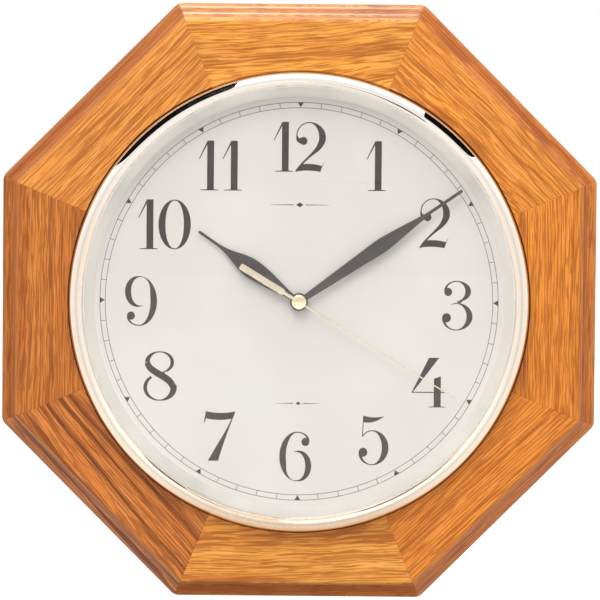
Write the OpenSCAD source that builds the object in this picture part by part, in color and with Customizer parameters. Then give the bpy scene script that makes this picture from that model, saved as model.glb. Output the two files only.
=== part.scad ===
// Octagonal oak schoolhouse wall clock with a battery quartz movement.
// Millimetres. +Z is up, the dial faces -Y and the wall is the plane y = 0.
// The origin is the centre of the keyhole that the clock hangs by.
// Everything is laid out about the hands' axis: "depth" is the distance in
// front of the wall, so a depth of 20 lies at y = -20.

/* [Oak case] */
// Width across the flats of the octagon
case_w = 304.8; // [300:0.2:310]
// Thickness of the oak, wall to flat face
case_t = 26; // [25.5:0.1:27]
// Width of the moulding around the outer edge
mould_w = 9.6; // [9:0.1:11]
// Radius of the rounded nose at the foot of the moulding
nose_r = 3; // [2:0.1:3.5]
// Radius of the cove in the moulding
cove_r = 3; // [2:0.1:3.2]
// Radius of the round opening for the dial
opening_r = 118.7; // [118.5:0.1:119.2]
// Radius of the shallow step behind the opening
rebate_r = 124; // [123.8:0.1:126]
// Depth of that step
rebate_t = 3.2; // [3.2:0.1:3.6]
// Half of the glue line between two staves
seam = 0.03; // [0.01:0.01:0.1]

/* [Hanger] */
// Height of the keyhole above the hands' axis
hang_drop = 133.5; // [132:0.5:134.5]
// Radius of the keyhole's round entry
key_r = 4.5; // [4:0.1:4.8]
// Half width of the keyhole's slot
slot_r = 2.2; // [1.8:0.1:2.4]
// Rise from the entry to the slot's top
slot_rise = 7.5; // [6:0.5:8]
// Thickness of the steel hanger plate
plate_t = 1.2; // [1:0.1:1.5]

/* [Dial and glass] */
// Depth of the dial's printed face
dial_h = 21; // [20.8:0.1:21.2]
// Thickness of the dial sheet
dial_t = 0.4; // [0.3:0.1:0.5]
// Radius of the dial sheet
dial_r = 114.5; // [114:0.1:115]
// Radius where the slanted inner ring meets the dial
ring_in_r = 105; // [104:0.5:107]
// Radius of the glass
glass_r = 112.6; // [112.4:0.1:112.6]
// Thickness of the glass
glass_t = 2; // [1.8:0.1:2]
// Depth of the front of the glass
glass_h = 30.2; // [30.1:0.1:30.2]
// Radius of the bezel's rounded section
bezel_round = 3.7; // [3.5:0.1:3.8]
// Radius of the bezel's crest
bezel_mid_r = 114.5; // [114.4:0.1:114.6]
// Thickness of the bezel metal
bezel_t = 0.9; // [0.6:0.1:1]

/* [Hands] */
// Clock angle of the hour hand
hour_at = 304.6; // [0:0.1:359.9]
// Clock angle of the minute hand
minute_at = 55.2; // [0:0.1:359.9]
// Clock angle of the second hand
second_at = 121.2; // [0:0.1:359.9]
// Length of the hour hand
hour_len = 62.8; // [55:0.1:70]
// Length of the minute hand
minute_len = 101.3; // [95:0.1:104]
// Length of the second hand
second_len = 94; // [85:0.5:100]
// Length of the second hand's tail
tail_len = 35.3; // [25:0.1:40]
// Thickness of the hands
hand_t = 0.4; // [0.3:0.05:0.45]

/* [Movement] */
// Half width of the movement housing
house_x = 28; // [28:0.5:30]
// Top of the housing above the hands' axis
house_top = 23; // [23:0.5:25]
// Bottom of the housing below the hands' axis
house_bottom = 33; // [33:0.5:35]
// Depth of the housing's back
house_h = 3.35; // [3.2:0.05:3.35]
// Housing wall
house_wall = 1.2; // [1:0.1:1.2]
// Radius of the battery
battery_r = 7; // [6.8:0.1:7.1]
// Length of the battery's body
battery_len = 49.3; // [48:0.1:49.5]

/* [Gears] */
// Pressure angle of the gear teeth
tooth_phi = 26; // [25:1:28]
// Height of a tooth above the pitch circle, in modules
tooth_add = 0.8; // [0.7:0.05:0.8]
// Depth of a tooth below the pitch circle, in modules
tooth_ded = 1.15; // [1.1:0.05:1.25]
// Share of each tooth left out as play
tooth_play = 0.15; // [0.12:0.01:0.2]

/* [Hidden] */
$fn = 96;
eps = 0.02;
half_w = case_w / 2;
// Radius at the octagon's corners, slightly eased
corner_r = half_w / cos(22.5) - 0.5;
// Depths inside the movement, counted from the housing's back
function lay(d) = house_h + d;
// Plan positions about the hands' axis, [x, z]
third_dist = 12.24;
third_xy = third_dist * [cos(135), sin(135)];
fifth_xy = 10.8 * [cos(20), sin(20)];
rotor_xy = fifth_xy + 8.75 * [cos(-20), sin(-20)];
reduct_xy = 12 * [cos(200), sin(200)];
knob_xy = reduct_xy + 13 * [cos(140), sin(140)];
battery_z = -house_bottom + 8.8;
coil_z = 17.5;
post_xy = [[25.1, 20.1], [25.1, -13.2], [-25.1, 20.1], [-25.1, -13.2]];
bridge_post = [14, -6.5];
bridge_end = [25, -3];
ear_x = 32;
ear_z = -5;
pan_screw_r = 121.3;

// ---- Placing -------------------------------------------------------------

// Moves a shape laid out about the hands' axis to the keyhole origin
module hung() {
    translate([0, 0, -hang_drop]) children();
}

// Raises a flat [x, z] shape between two depths
module slab(h1, h2) {
    rotate([90, 0, 0]) translate([0, 0, h1]) linear_extrude(height = h2 - h1) children();
}

// Round bar along the hands' axis at a plan position
module rod(r, h1, h2, at = [0, 0]) {
    rotate([90, 0, 0]) translate([at[0], at[1], h1]) cylinder(r = r, h = h2 - h1);
}

// Turns an [radius, depth] profile around the hands' axis
module lathe() {
    rotate([90, 0, 0]) rotate_extrude($fn = 180) children();
}

// Turns a shape to a clock angle, clockwise as seen from the front
module clock_turn(a) {
    rotate([0, a, 0]) children();
}

// Plate outline with round corners
module round_plate(x0, x1, z0, z1, r) {
    translate([x0 + r, z0]) square([x1 - x0 - 2 * r, z1 - z0]);
    translate([x0, z0 + r]) square([x1 - x0, z1 - z0 - 2 * r]);
    for (x = [x0 + r, x1 - r], z = [z0 + r, z1 - r]) {
        translate([x, z]) circle(r = r, $fn = 48);
    }
}

// Pan-head screw with a cross recess: head depths first, then the shank's end
module screw(at, head_r, shank_r, h_head, h_seat, h_end) {
    difference() {
        rod(head_r, h_head, h_seat, at);
        for (turn = [45, 135]) {
            translate([at[0], 0, at[1]]) rotate([0, turn, 0])
                translate([-head_r * 0.6, -h_head - (h_seat - h_head) * 0.55, -head_r * 0.14])
                cube([head_r * 1.2, (h_seat - h_head) * 0.55 + 1, head_r * 0.28]);
        }
    }
    rod(shank_r, min(h_seat, h_end), max(h_seat, h_end), at);
}

// ---- Gear outlines -------------------------------------------------------

function involute(a) = tan(a) * 180 / PI - a;
// Half angle of a tooth at a radius; the flank is radial below the base circle
function tooth_half(n, rp, r) =
    let (full = 90 / n * (1 - tooth_play) + involute(tooth_phi), rb = rp * cos(tooth_phi))
    r <= rb ? full : full - involute(acos(rb / r));
// Outline of a gear of n teeth with a tooth centred at angle "at"
function gear_points(n, m, at) =
    let (rp = n * m / 2, ra = rp + tooth_add * m, rf = rp - tooth_ded * m,
         rb = rp * cos(tooth_phi), r0 = max(rf, rb),
         rise = [rf, each rb > rf + 0.01 ? [rb] : [], (r0 + ra) / 2, ra])
    [for (k = [0 : n - 1], side = [-1, 1], j = [0 : len(rise) - 1])
        let (r = rise[side < 0 ? j : len(rise) - 1 - j],
             a = at + 360 * k / n + side * tooth_half(n, rp, r))
        r * [cos(a), sin(a)]];
// Angle at which a gear of n2 teeth meshes with one of n1 teeth turned to a1
function mesh_at(n1, a1, n2, way) = way + 180 - (180 - (way - a1) * n1) / n2;

module gear(n, m, at) {
    polygon(gear_points(n, m, at));
}

// Wheel blank with crossed-out windows between a hub and a rim
module spoked(n, m, at, hub_r, arms, arm_w) {
    rim_r = n * m / 2 - 1.15 * m - 1;
    difference() {
        gear(n, m, at);
        difference() {
            circle(r = rim_r);
            circle(r = hub_r);
            for (k = [0 : arms - 1]) {
                rotate(k * 360 / arms) translate([0, -arm_w / 2]) square([rim_r + 1, arm_w]);
            }
        }
    }
}

// Phases of the teeth, each worked out from the gear it is driven by
cannon_a = 0;
reduct_a = mesh_at(12, cannon_a, 36, 200);
hourwheel_a = mesh_at(12, 0, 48, 20);
knob_a = mesh_at(36, reduct_a, 16, 140);
centre_a = mesh_at(8, 0, 60, -45);
thirdwheel_a = mesh_at(8, 0, 64, 135);
fourth_a = mesh_at(12, 0, 60, 200);
fifthwheel_a = mesh_at(10, 0, 60, 160);

// ---- Oak case ------------------------------------------------------------

// Section of a stave, [distance from the axis, depth]
module stave_profile() {
    flat_r = half_w - mould_w;
    nose_h = 12;
    over_r = mould_w - 2 * nose_r - 1;
    translate([100, 0]) square([flat_r - 100, case_t]);
    translate([flat_r - 1, 0]) square([mould_w + 1, nose_h]);
    translate([half_w - nose_r, nose_h]) circle(r = nose_r);
    translate([flat_r - 1, nose_h - 1]) square([mould_w + 1 - nose_r, nose_r + 1]);
    // Fillet step, cove and rounded shoulder
    translate([flat_r - 1, nose_h + nose_r - 1]) square([over_r + cove_r + 1, 2]);
    difference() {
        translate([flat_r - 1, nose_h + nose_r]) square([over_r + cove_r + 1, cove_r + 1]);
        translate([flat_r + over_r + cove_r, nose_h + nose_r + cove_r + 1]) circle(r = cove_r);
    }
    translate([flat_r - 1, nose_h + nose_r]) square([over_r + 1, case_t - nose_h - nose_r - over_r]);
    translate([flat_r, case_t - over_r]) circle(r = over_r);
}

// One mitred stave at a clock angle, with the pilot hole of a pan screw if it has one
module stave(a, drilled) {
    reach = half_w * 1.15;
    hung() difference() {
        intersection() {
            clock_turn(a) rotate([180, -90, 0]) translate([0, 0, -70])
                linear_extrude(height = 140) stave_profile();
            clock_turn(a) slab(-1, case_t + 1) translate([0, seam / sin(22.5)])
                polygon([[0, 0], [-reach * tan(22.5), reach], [reach * tan(22.5), reach]]);
            rod(corner_r, -1, case_t + 1, $fn = 180);
        }
        rod(opening_r, -2, case_t + 2, $fn = 180);
        rod(rebate_r, -2, rebate_t, $fn = 180);
        if (drilled) {
            clock_turn(a) rod(1.2, rebate_t - 1, 12.5, [0, pan_screw_r]);
        }
    }
}

module stave_top() color("#e0a060") {
    difference() {
        stave(0, false);
        // Seat of the hanger plate and the pocket for the wall screw's head
        translate([-18.1, -plate_t, -7.1]) cube([36.2, plate_t + 1, 22.2]);
        rotate([90, 0, 0]) cylinder(r = 5.6, h = 8.5);
        translate([-5.6, -8.5, 0]) cube([11.2, 9, slot_rise]);
        translate([0, 0, slot_rise]) rotate([90, 0, 0]) cylinder(r = 5.6, h = 8.5);
        for (x = [-14, 14]) {
            translate([x, 0, 3.5]) rotate([90, 0, 0]) cylinder(r = 1.05, h = 10.2);
        }
    }
}
module stave_upper_right() color("#e0a060") stave(45, true);
module stave_right() color("#d99655") stave(90, false);
module stave_lower_right() color("#c98245") stave(135, true);
module stave_bottom() color("#c27a40") stave(180, false);
module stave_lower_left() color("#c98245") stave(225, true);
module stave_left() color("#d08a4c") stave(270, false);
module stave_upper_left() color("#e0a060") stave(315, true);

// ---- Hanger --------------------------------------------------------------

module hanger_plate() color("#b8b8b4") {
    difference() {
        rotate([90, 0, 0]) linear_extrude(height = plate_t) round_plate(-18, 18, -7, 15, 2.5);
        translate([0, 1, 0]) rotate([90, 0, 0]) cylinder(r = key_r, h = plate_t + 2);
        translate([-slot_r, -plate_t - 1, 0]) cube([2 * slot_r, plate_t + 2, slot_rise]);
        translate([0, 1, slot_rise]) rotate([90, 0, 0]) cylinder(r = slot_r, h = plate_t + 2);
        for (x = [-14, 14]) {
            translate([x, 1, 3.5]) rotate([90, 0, 0]) cylinder(r = 1.3, h = plate_t + 2);
            translate([x, 0.01, 3.5]) rotate([90, 0, 0]) cylinder(r1 = 2.5, r2 = 1.3, h = 1.1);
        }
    }
}

// Countersunk screw flush with the plate
module hanger_screw(x) {
    translate([x, 0, 3.5]) {
        difference() {
            translate([0, -0.02, 0]) rotate([90, 0, 0]) cylinder(r1 = 2.4, r2 = 1.2, h = 1.08);
            for (turn = [0, 90]) {
                rotate([0, turn, 0]) translate([-1.5, -0.55, -0.3]) cube([3, 1, 0.6]);
            }
        }
        translate([0, -1.05, 0]) rotate([90, 0, 0]) cylinder(r = 1, h = 8.9);
    }
}
module hanger_screw_left() color("#c8c8c4") hanger_screw(-14);
module hanger_screw_right() color("#c8c8c4") hanger_screw(14);

// ---- Dial pan, dial, ring, glass and bezel --------------------------------

module dial_pan() color("#33322f") {
    hung() difference() {
        union() {
            lathe() {
                translate([112, 0.9]) square([11.6, rebate_t - 0.9]);
                translate([116, 0.9]) square([1.2, 25.6]);
                translate([3.6, 19.4]) square([112.8, dial_h - dial_t - 19.4]);
            }
            for (x = [-ear_x, ear_x]) {
                rod(3, lay(10), 19.6, [x, ear_z], $fn = 48);
            }
            // Stiffening ribs behind the floor
            for (k = [0 : 7]) {
                clock_turn(k * 45) translate([-0.6, -19.5, 48]) cube([1.2, 3, 68.4]);
            }
        }
        for (k = [0 : 3]) {
            clock_turn(45 + k * 90) rod(1.6, -1, 5, [0, pan_screw_r], $fn = 48);
        }
        for (x = [-ear_x, ear_x]) {
            rod(1.25, lay(9), lay(15.5), [x, ear_z], $fn = 48);
        }
    }
}

module pan_screw(a) {
    hung() clock_turn(a) screw([0, pan_screw_r], 2.2, 1.15, 0.1, 0.9, 12);
}
module pan_screw_upper_right() color("#caa64a") pan_screw(45);
module pan_screw_lower_right() color("#caa64a") pan_screw(135);
module pan_screw_lower_left() color("#caa64a") pan_screw(225);
module pan_screw_upper_left() color("#caa64a") pan_screw(315);

module dial() color("#ece6e0") {
    hung() difference() {
        rod(dial_r, dial_h - dial_t, dial_h, $fn = 180);
        rod(3.6, dial_h - 2, dial_h + 2, $fn = 48);
    }
}

// Slanted ring between the dial and the glass, with a wall down to the dial
module inner_ring() color("#e6e6e0") {
    top = glass_h - glass_t - 0.6;
    hung() lathe() polygon([[ring_in_r, dial_h], [ring_in_r + 0.9, dial_h],
        [111.5, top - 0.7], [112.8, top - 0.7], [112.8, dial_h], [113.6, dial_h],
        [113.6, top], [110.97, top]]);
}

// L-section seal under and around the edge of the glass
module crystal_gasket() color("#2a2a28") {
    low = glass_h - glass_t;
    hung() lathe() polygon([[111.2, low - 0.6], [113.6, low - 0.6], [113.6, glass_h],
        [glass_r, glass_h], [glass_r, low], [111.2, low]]);
}

module crystal() color("#dfe8ea", 0.3) {
    hung() rod(glass_r, glass_h - glass_t, glass_h, $fn = 180);
}

// Half-round pressed ring with an inner lip over the glass and a skirt round the pan
module bezel() color("#d9c48a") {
    foot = 30.3;
    out_r = bezel_mid_r + bezel_round;
    hung() lathe() {
        difference() {
            translate([bezel_mid_r, foot]) circle(r = bezel_round);
            translate([bezel_mid_r, foot]) circle(r = bezel_round - bezel_t);
            translate([bezel_mid_r - 6, foot - 6]) square([12, 6]);
            translate([bezel_mid_r - 6, foot - 1]) square([2.5, 8]);
        }
        translate([out_r - bezel_t, 14]) square([bezel_t, foot - 14 + 0.05]);
    }
}

// ---- Hands -----------------------------------------------------------------

// Half width of a leaf-shaped hand: swells from w0 to wp at sp, then narrows to w1 at s1
function leaf(s, s0, sp, s1, w0, wp, w1, swell, taper) =
    s >= s1 ? w1 :
    s <= sp ? w0 + (wp - w0) * pow(sin(90 * (s - s0) / (sp - s0)), swell) :
    w1 + (wp - w1) * pow(cos(90 * (s - sp) / (s1 - sp)), taper);

// Outline of a leaf hand pointing up, with a rounded tip
module leaf_hand(len, s0, sp, s1, w0, wp, w1, swell, taper) {
    last = len - w1;
    steps = 30;
    side = [for (i = [0 : steps]) let (s = s0 + (last - s0) * i / steps)
        [leaf(s, s0, sp, s1, w0, wp, w1, swell, taper), s]];
    polygon([for (p = side) p, for (i = [steps : -1 : 0]) [-side[i][0], side[i][1]]]);
    translate([0, last]) circle(r = w1, $fn = 32);
    translate([-w0, 0]) square([2 * w0, s0 + 0.01]);
}

// Tip, tail neck and counterweight bar of the second hand
module second_outline() {
    polygon([[-0.75, 0], [0.75, 0], [0.4, second_len], [-0.4, second_len]]);
    translate([-0.9, -10.2]) square([1.8, 10.3]);
    translate([-1.65, -tail_len]) square([3.3, tail_len - 10.1]);
}

module hour_hand() color("#262322") {
    hung() clock_turn(hour_at) difference() {
        union() {
            rod(4.55, 22.3, 23.8, $fn = 64);
            slab(23.3, 23.3 + hand_t) leaf_hand(hour_len, 3, 29.5, 52, 1.5, 4.95, 0.6, 1.6, 2.9);
        }
        rod(2.3, 20, 30, $fn = 64);
    }
}

module minute_hand() color("#262322") {
    hung() clock_turn(minute_at) difference() {
        union() {
            rod(4.55, 24.3, 25.6, $fn = 64);
            slab(24.9, 24.9 + hand_t) leaf_hand(minute_len, 3, 51, 85, 1.5, 3.65, 0.85, 1.8, 1.5);
        }
        rod(1.5, 20, 30, $fn = 64);
    }
}

module second_hand() color("#d8c080") {
    hung() clock_turn(second_at) difference() {
        union() {
            rod(1.7, 25.95, 26.6, $fn = 64);
            slab(26.25, 26.6) second_outline();
        }
        rod(0.55, 20, 30, $fn = 48);
    }
}

// Domed cap pressed on the end of the second arbor
module second_hand_cap() color("#d8b860") {
    hung() difference() {
        lathe() intersection() {
            translate([0, 26.6]) square([3.75, 0.95]);
            translate([0, 26.6 - 9]) circle(r = 9.95);
        }
        rod(0.55, 20, 27, $fn = 48);
    }
}

// ---- Movement: plates -----------------------------------------------------

module centre_bushing() color("#c9a552") {
    hung() difference() {
        union() {
            rod(3.4, lay(14.1), dial_h + 0.9, $fn = 64);
            rod(4.6, lay(14.1), lay(14.5), $fn = 64);
        }
        rod(2.35, 0, 40, $fn = 64);
    }
}

module front_plate() color("#2d2f31") {
    hung() difference() {
        union() {
            slab(lay(14.5), lay(16)) round_plate(-house_x, house_x, -house_bottom, house_top, 3);
            for (p = post_xy) {
                rod(1.5, lay(10.2), lay(14.6), p, $fn = 48);
            }
        }
        rod(3.45, lay(14), lay(17), $fn = 64);
        for (p = post_xy) {
            rod(0.7, lay(9), lay(17), p, $fn = 32);
            rod(1.55, lay(15.1), lay(17), p, $fn = 48);
        }
        rod(0.35, lay(14), lay(15.3), reduct_xy, $fn = 32);
        rod(0.65, lay(14), lay(15.3), knob_xy, $fn = 32);
    }
}

module middle_plate() color("#e8e4d8") {
    hung() difference() {
        slab(lay(9.4), lay(10.2)) round_plate(-26.5, 26.5, -15.2, 21.5, 1.5);
        rod(1.55, lay(9), lay(11), $fn = 64);
        rod(0.35, lay(9), lay(11), third_xy, $fn = 32);
        rod(0.35, lay(9), lay(11), reduct_xy, $fn = 32);
        rod(1.25, lay(9), lay(11), knob_xy, $fn = 48);
        for (p = post_xy) {
            rod(0.7, lay(9), lay(11), p, $fn = 32);
        }
    }
}

// Small plate that carries the front pivots of the fifth wheel and the rotor
module train_bridge() color("#e8e4d8") {
    hung() difference() {
        slab(lay(6.6), lay(7.4)) polygon([[8.2, 4.6], [9.2, 5.8], [11.4, 6], [19.6, 3.2], [25.4, -0.8],
            [26.2, -2.4], [26, -4.2], [24.6, -5], [14.8, -8.6], [12.8, -8.2], [12, -6.4],
            [12.4, -4.6], [8.2, 2.4]]);
        rod(0.3, lay(6), lay(8), fifth_xy, $fn = 32);
        rod(0.3, lay(6), lay(8), rotor_xy, $fn = 32);
        rod(0.7, lay(6), lay(8), bridge_post, $fn = 32);
    }
}

module rear_case() color("#2d2f31") {
    hung() difference() {
        union() {
            difference() {
                slab(lay(0), lay(14.5)) round_plate(-house_x, house_x, -house_bottom, house_top, 3);
                // Gear room, closed at the back
                slab(lay(1.2), lay(15)) translate([-house_x + house_wall, -15.5])
                    square([2 * (house_x - house_wall), house_top - house_wall + 15.5]);
                // Battery bay, open at the back
                slab(lay(-1), lay(15)) translate([-house_x + house_wall, battery_z - 7.6])
                    square([2 * (house_x - house_wall), 15.2]);
            }
            // Ears that the movement is screwed on by
            for (s = [-1, 1]) {
                slab(lay(8), lay(10)) union() {
                    translate([s * ear_x, ear_z]) circle(r = 3.5, $fn = 48);
                    translate([s > 0 ? house_x - 1 : -ear_x, ear_z - 3.5]) square([ear_x - house_x + 1, 7]);
                }
            }
            // Bearing bosses and posts
            rod(1.5, lay(1.1), lay(3.6), $fn = 48);
            rod(1.6, lay(1.1), lay(5.5), third_xy, $fn = 48);
            rod(1.3, lay(1.1), lay(2.3), fifth_xy, $fn = 48);
            rod(1.3, lay(1.1), lay(2.3), rotor_xy, $fn = 48);
            rod(1.5, lay(1.1), lay(6.6), bridge_post, $fn = 48);
            rod(1.4, lay(1.1), lay(6.6), bridge_end, $fn = 48);
            for (p = post_xy) {
                rod(1.5, lay(1.1), lay(9.4), p, $fn = 48);
            }
            // Pads under the circuit board and the coil
            for (p = [[-22, -13], [-22, -5], [-12.5, -13], [-12.5, -5]]) {
                rod(0.9, lay(1.1), lay(2), p, $fn = 32);
            }
        }
        rod(0.35, lay(0.6), lay(4), $fn = 32);
        rod(0.35, lay(4), lay(6), third_xy, $fn = 32);
        rod(0.3, lay(0.7), lay(3), fifth_xy, $fn = 32);
        rod(0.3, lay(0.7), lay(3), rotor_xy, $fn = 32);
        rod(1.25, lay(-1), lay(3), knob_xy, $fn = 48);
        rod(0.7, lay(3), lay(7), bridge_post, $fn = 32);
        for (p = post_xy) {
            rod(0.7, lay(5), lay(10), p, $fn = 32);
        }
        for (x = [-ear_x, ear_x]) {
            rod(1.6, lay(7), lay(11), [x, ear_z], $fn = 48);
        }
        // Finger notch in the bay's lower wall
        translate([-9, -lay(5), -house_bottom - 1]) cube([18, 5 + 1, 4]);
    }
}

// Screws that close the housing from the front
module case_screw(p) {
    hung() difference() {
        union() {
            rod(1.45, lay(15.1), lay(15.9), p, $fn = 48);
            rod(0.65, lay(5.6), lay(15.2), p, $fn = 32);
        }
        for (turn = [0, 90]) {
            translate([p[0], 0, p[1]]) rotate([0, turn, 0])
                translate([-0.9, -lay(17), -0.2]) cube([1.8, 1.5, 0.4]);
        }
    }
}
module case_screw_a() color("#b9b9b5") case_screw(post_xy[0]);
module case_screw_b() color("#b9b9b5") case_screw(post_xy[1]);
module case_screw_c() color("#b9b9b5") case_screw(post_xy[2]);
module case_screw_d() color("#b9b9b5") case_screw(post_xy[3]);

module bridge_screw() color("#b9b9b5") {
    hung() difference() {
        union() {
            rod(1.3, lay(7.4), lay(8.1), bridge_post, $fn = 48);
            rod(0.65, lay(3.4), lay(7.5), bridge_post, $fn = 32);
        }
        translate([bridge_post[0] - 0.8, -lay(9), bridge_post[1] - 0.18]) cube([1.6, 1.3, 0.36]);
    }
}

module movement_screw(x) {
    hung() screw([x, ear_z], 2.6, 1.2, lay(6.7), lay(8), lay(15));
}
module movement_screw_left() color("#b9b9b5") movement_screw(-ear_x);
module movement_screw_right() color("#b9b9b5") movement_screw(ear_x);

// ---- Movement: wheels -------------------------------------------------------

module hour_wheel() color("#f1eee4") {
    hung() difference() {
        union() {
            slab(lay(12.5), lay(13.7)) gear(48, 0.4, hourwheel_a);
            rod(2.3, lay(12.5), 23.9, $fn = 64);
        }
        rod(1.55, 0, 40, $fn = 64);
    }
}

module minute_pipe() color("#c9a552") {
    hung() difference() {
        union() {
            slab(lay(10.5), lay(11.5)) gear(12, 0.5, cannon_a);
            rod(1.5, lay(7.9), 25.6, $fn = 64);
        }
        rod(0.6, 0, 40, $fn = 48);
    }
}

module centre_wheel() color("#f1eee4") {
    hung() difference() {
        slab(lay(8.1), lay(9.1)) spoked(60, 0.36, centre_a, 3.2, 4, 2);
        rod(1.5, lay(7), lay(10), $fn = 64);
    }
}

module second_arbor() color("#c8c8c6") {
    hung() {
        rod(0.55, lay(3.9), 26.9, $fn = 48);
        rod(0.3, lay(0.8), lay(4), $fn = 32);
    }
}

module second_wheel() color("#f1eee4") {
    hung() difference() {
        union() {
            slab(lay(4.2), lay(4.9)) spoked(60, 0.3, fourth_a, 2.4, 4, 1.8);
            slab(lay(4.8), lay(7)) gear(8, 0.34, 0);
        }
        rod(0.55, lay(3), lay(8), $fn = 48);
    }
}

module third_wheel() color("#f1eee4") {
    hung() translate([third_xy[0], 0, third_xy[1]]) {
        slab(lay(6.1), lay(6.9)) spoked(64, 0.34, thirdwheel_a, 2.8, 4, 2);
        slab(lay(6.8), lay(9.1)) gear(8, 0.36, 0);
        rod(0.9, lay(5.8), lay(6.2), $fn = 48);
        rod(0.3, lay(4.3), lay(6), $fn = 32);
        rod(0.3, lay(9), lay(10), $fn = 32);
    }
}

module fifth_wheel() color("#f1eee4") {
    hung() translate([fifth_xy[0], 0, fifth_xy[1]]) {
        slab(lay(2.7), lay(3.5)) gear(60, 0.25, fifthwheel_a);
        slab(lay(3.4), lay(4.9)) gear(12, 0.3, 0);
        rod(0.6, lay(4.8), lay(6.3), $fn = 32);
        rod(0.25, lay(0.9), lay(2.8), $fn = 32);
        rod(0.25, lay(6.2), lay(7.2), $fn = 32);
    }
}

module rotor_pinion() color("#f1eee4") {
    hung() translate([rotor_xy[0], 0, rotor_xy[1]]) {
        slab(lay(2.6), lay(3.8)) gear(10, 0.25, 0);
        rod(0.55, lay(3.7), lay(6.3), $fn = 32);
        rod(0.25, lay(0.9), lay(2.7), $fn = 32);
        rod(0.25, lay(6.2), lay(7.2), $fn = 32);
    }
}

module rotor_magnet() color("#4a4a4c") {
    hung() difference() {
        rod(2.6, lay(4.9), lay(6.2), rotor_xy, $fn = 64);
        rod(0.55, lay(4), lay(7), rotor_xy, $fn = 32);
    }
}

module reduction_wheel() color("#f1eee4") {
    hung() translate([reduct_xy[0], 0, reduct_xy[1]]) {
        slab(lay(10.5), lay(11.5)) gear(36, 0.5, reduct_a);
        slab(lay(11.4), lay(13.8)) gear(12, 0.4, 0);
        rod(0.3, lay(9.5), lay(10.6), $fn = 32);
        rod(0.3, lay(13.7), lay(15.2), $fn = 32);
    }
}

module setting_knob() color("#232425") {
    hung() translate([knob_xy[0], 0, knob_xy[1]]) {
        difference() {
            rod(5.5, lay(-2.5), lay(-0.5), $fn = 64);
            // Grip grooves round the rim
            for (k = [0 : 23]) {
                rotate([0, k * 15, 0]) rod(0.35, lay(-3), lay(0), [0, 5.55], $fn = 16);
            }
        }
        rod(1.2, lay(-0.6), lay(10.4), $fn = 48);
        rod(0.6, lay(10.3), lay(15.2), $fn = 32);
    }
}

module setting_gear() color("#f1eee4") {
    hung() difference() {
        translate([knob_xy[0], 0, knob_xy[1]]) {
            slab(lay(10.5), lay(11.5)) gear(16, 0.5, knob_a);
            rod(2, lay(11.4), lay(12.4), $fn = 48);
        }
        rod(0.6, lay(10), lay(13), knob_xy, $fn = 32);
    }
}

// ---- Movement: motor, circuit and battery -----------------------------------

module stator() color("#a9a9a6") {
    hung() difference() {
        union() {
            rod(5.4, lay(5.5), lay(6.3), rotor_xy, $fn = 96);
            slab(lay(5.5), lay(6.3)) polygon([[1.6, 18.4], [3.3, 18.4], [3.3, 13.6], [17.4, 4.5],
                [15.1, 2], [3.6, 11], [1.6, 14.3]]);
            slab(lay(5.5), lay(6.3)) polygon([[20.5, 4.4], [22.4, 2.4], [25, 9], [25, 18.4],
                [23, 18.4], [23, 12]]);
        }
        rod(3.1, lay(5), lay(7), rotor_xy, $fn = 64);
    }
}

module coil_core() color("#a9a9a6") {
    hung() translate([1.8, -lay(5.5), coil_z - 0.9]) cube([23, 0.8, 1.8]);
}

module coil_bobbin() color("#e8e0c8") {
    hung() translate([0, -lay(5.1), coil_z]) rotate([0, 90, 0]) difference() {
        union() {
            for (x = [3.6, 21.8]) {
                translate([0, 0, x]) cylinder(r = 3.5, h = 0.8, $fn = 64);
            }
            translate([0, 0, 3.7]) cylinder(r = 1.6, h = 18.6, $fn = 48);
        }
        translate([0, 0, 3]) cylinder(r = 1.05, h = 20.5, $fn = 48);
    }
}

module coil_winding() color("#b5652b") {
    hung() translate([0, -lay(5.1), coil_z]) rotate([0, 90, 0]) difference() {
        translate([0, 0, 4.4]) cylinder(r = 3.1, h = 17.4, $fn = 64);
        translate([0, 0, 4]) cylinder(r = 1.6, h = 19, $fn = 48);
    }
}

module circuit_board() color("#8a6d3b") {
    hung() slab(lay(2), lay(2.8)) round_plate(-23.2, -11.2, -14.2, -3.6, 0.6);
}

module quartz_can() color("#c4c4c0") {
    hung() translate([-21.6, -lay(4.3), -6]) rotate([0, 90, 0]) cylinder(r = 1.5, h = 6.2, $fn = 64);
}

module chip() color("#1d1d1e") {
    hung() difference() {
        translate([-16.2, -lay(0.3), -11]) sphere(r = 4, $fn = 64);
        translate([-21, -lay(2.8), -16]) cube([10, 10, 10]);
    }
}

module battery() color("#3c7a50") {
    hung() translate([0, -lay(7.3), battery_z]) rotate([0, 90, 0]) {
        translate([0, 0, -24.7]) cylinder(r = battery_r, h = battery_len);
        translate([0, 0, battery_len - 24.8]) cylinder(r = 2.7, h = 1.2);
    }
}

module positive_contact() color("#c4c4c0") {
    hung() {
        translate([26.1, -lay(12), battery_z - 3.5]) cube([0.4, 9, 7]);
        translate([26.1, -lay(13.8), battery_z - 1.5]) cube([0.4, 2, 3]);
    }
}

// Springy folded strip behind the battery's flat end
module negative_contact() color("#c4c4c0") {
    hung() translate([0, 0, battery_z - 3]) linear_extrude(height = 6)
        polygon([[-26.6, -lay(13)], [-26.3, -lay(13)], [-26.3, -lay(4.4)], [-25, -lay(7.3)],
            [-26, -lay(10.4)], [-25.7, -lay(10.5)], [-24.98, -lay(7.3)], [-26.2, -lay(3.4)],
            [-26.6, -lay(3.4)]]);
}

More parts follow.
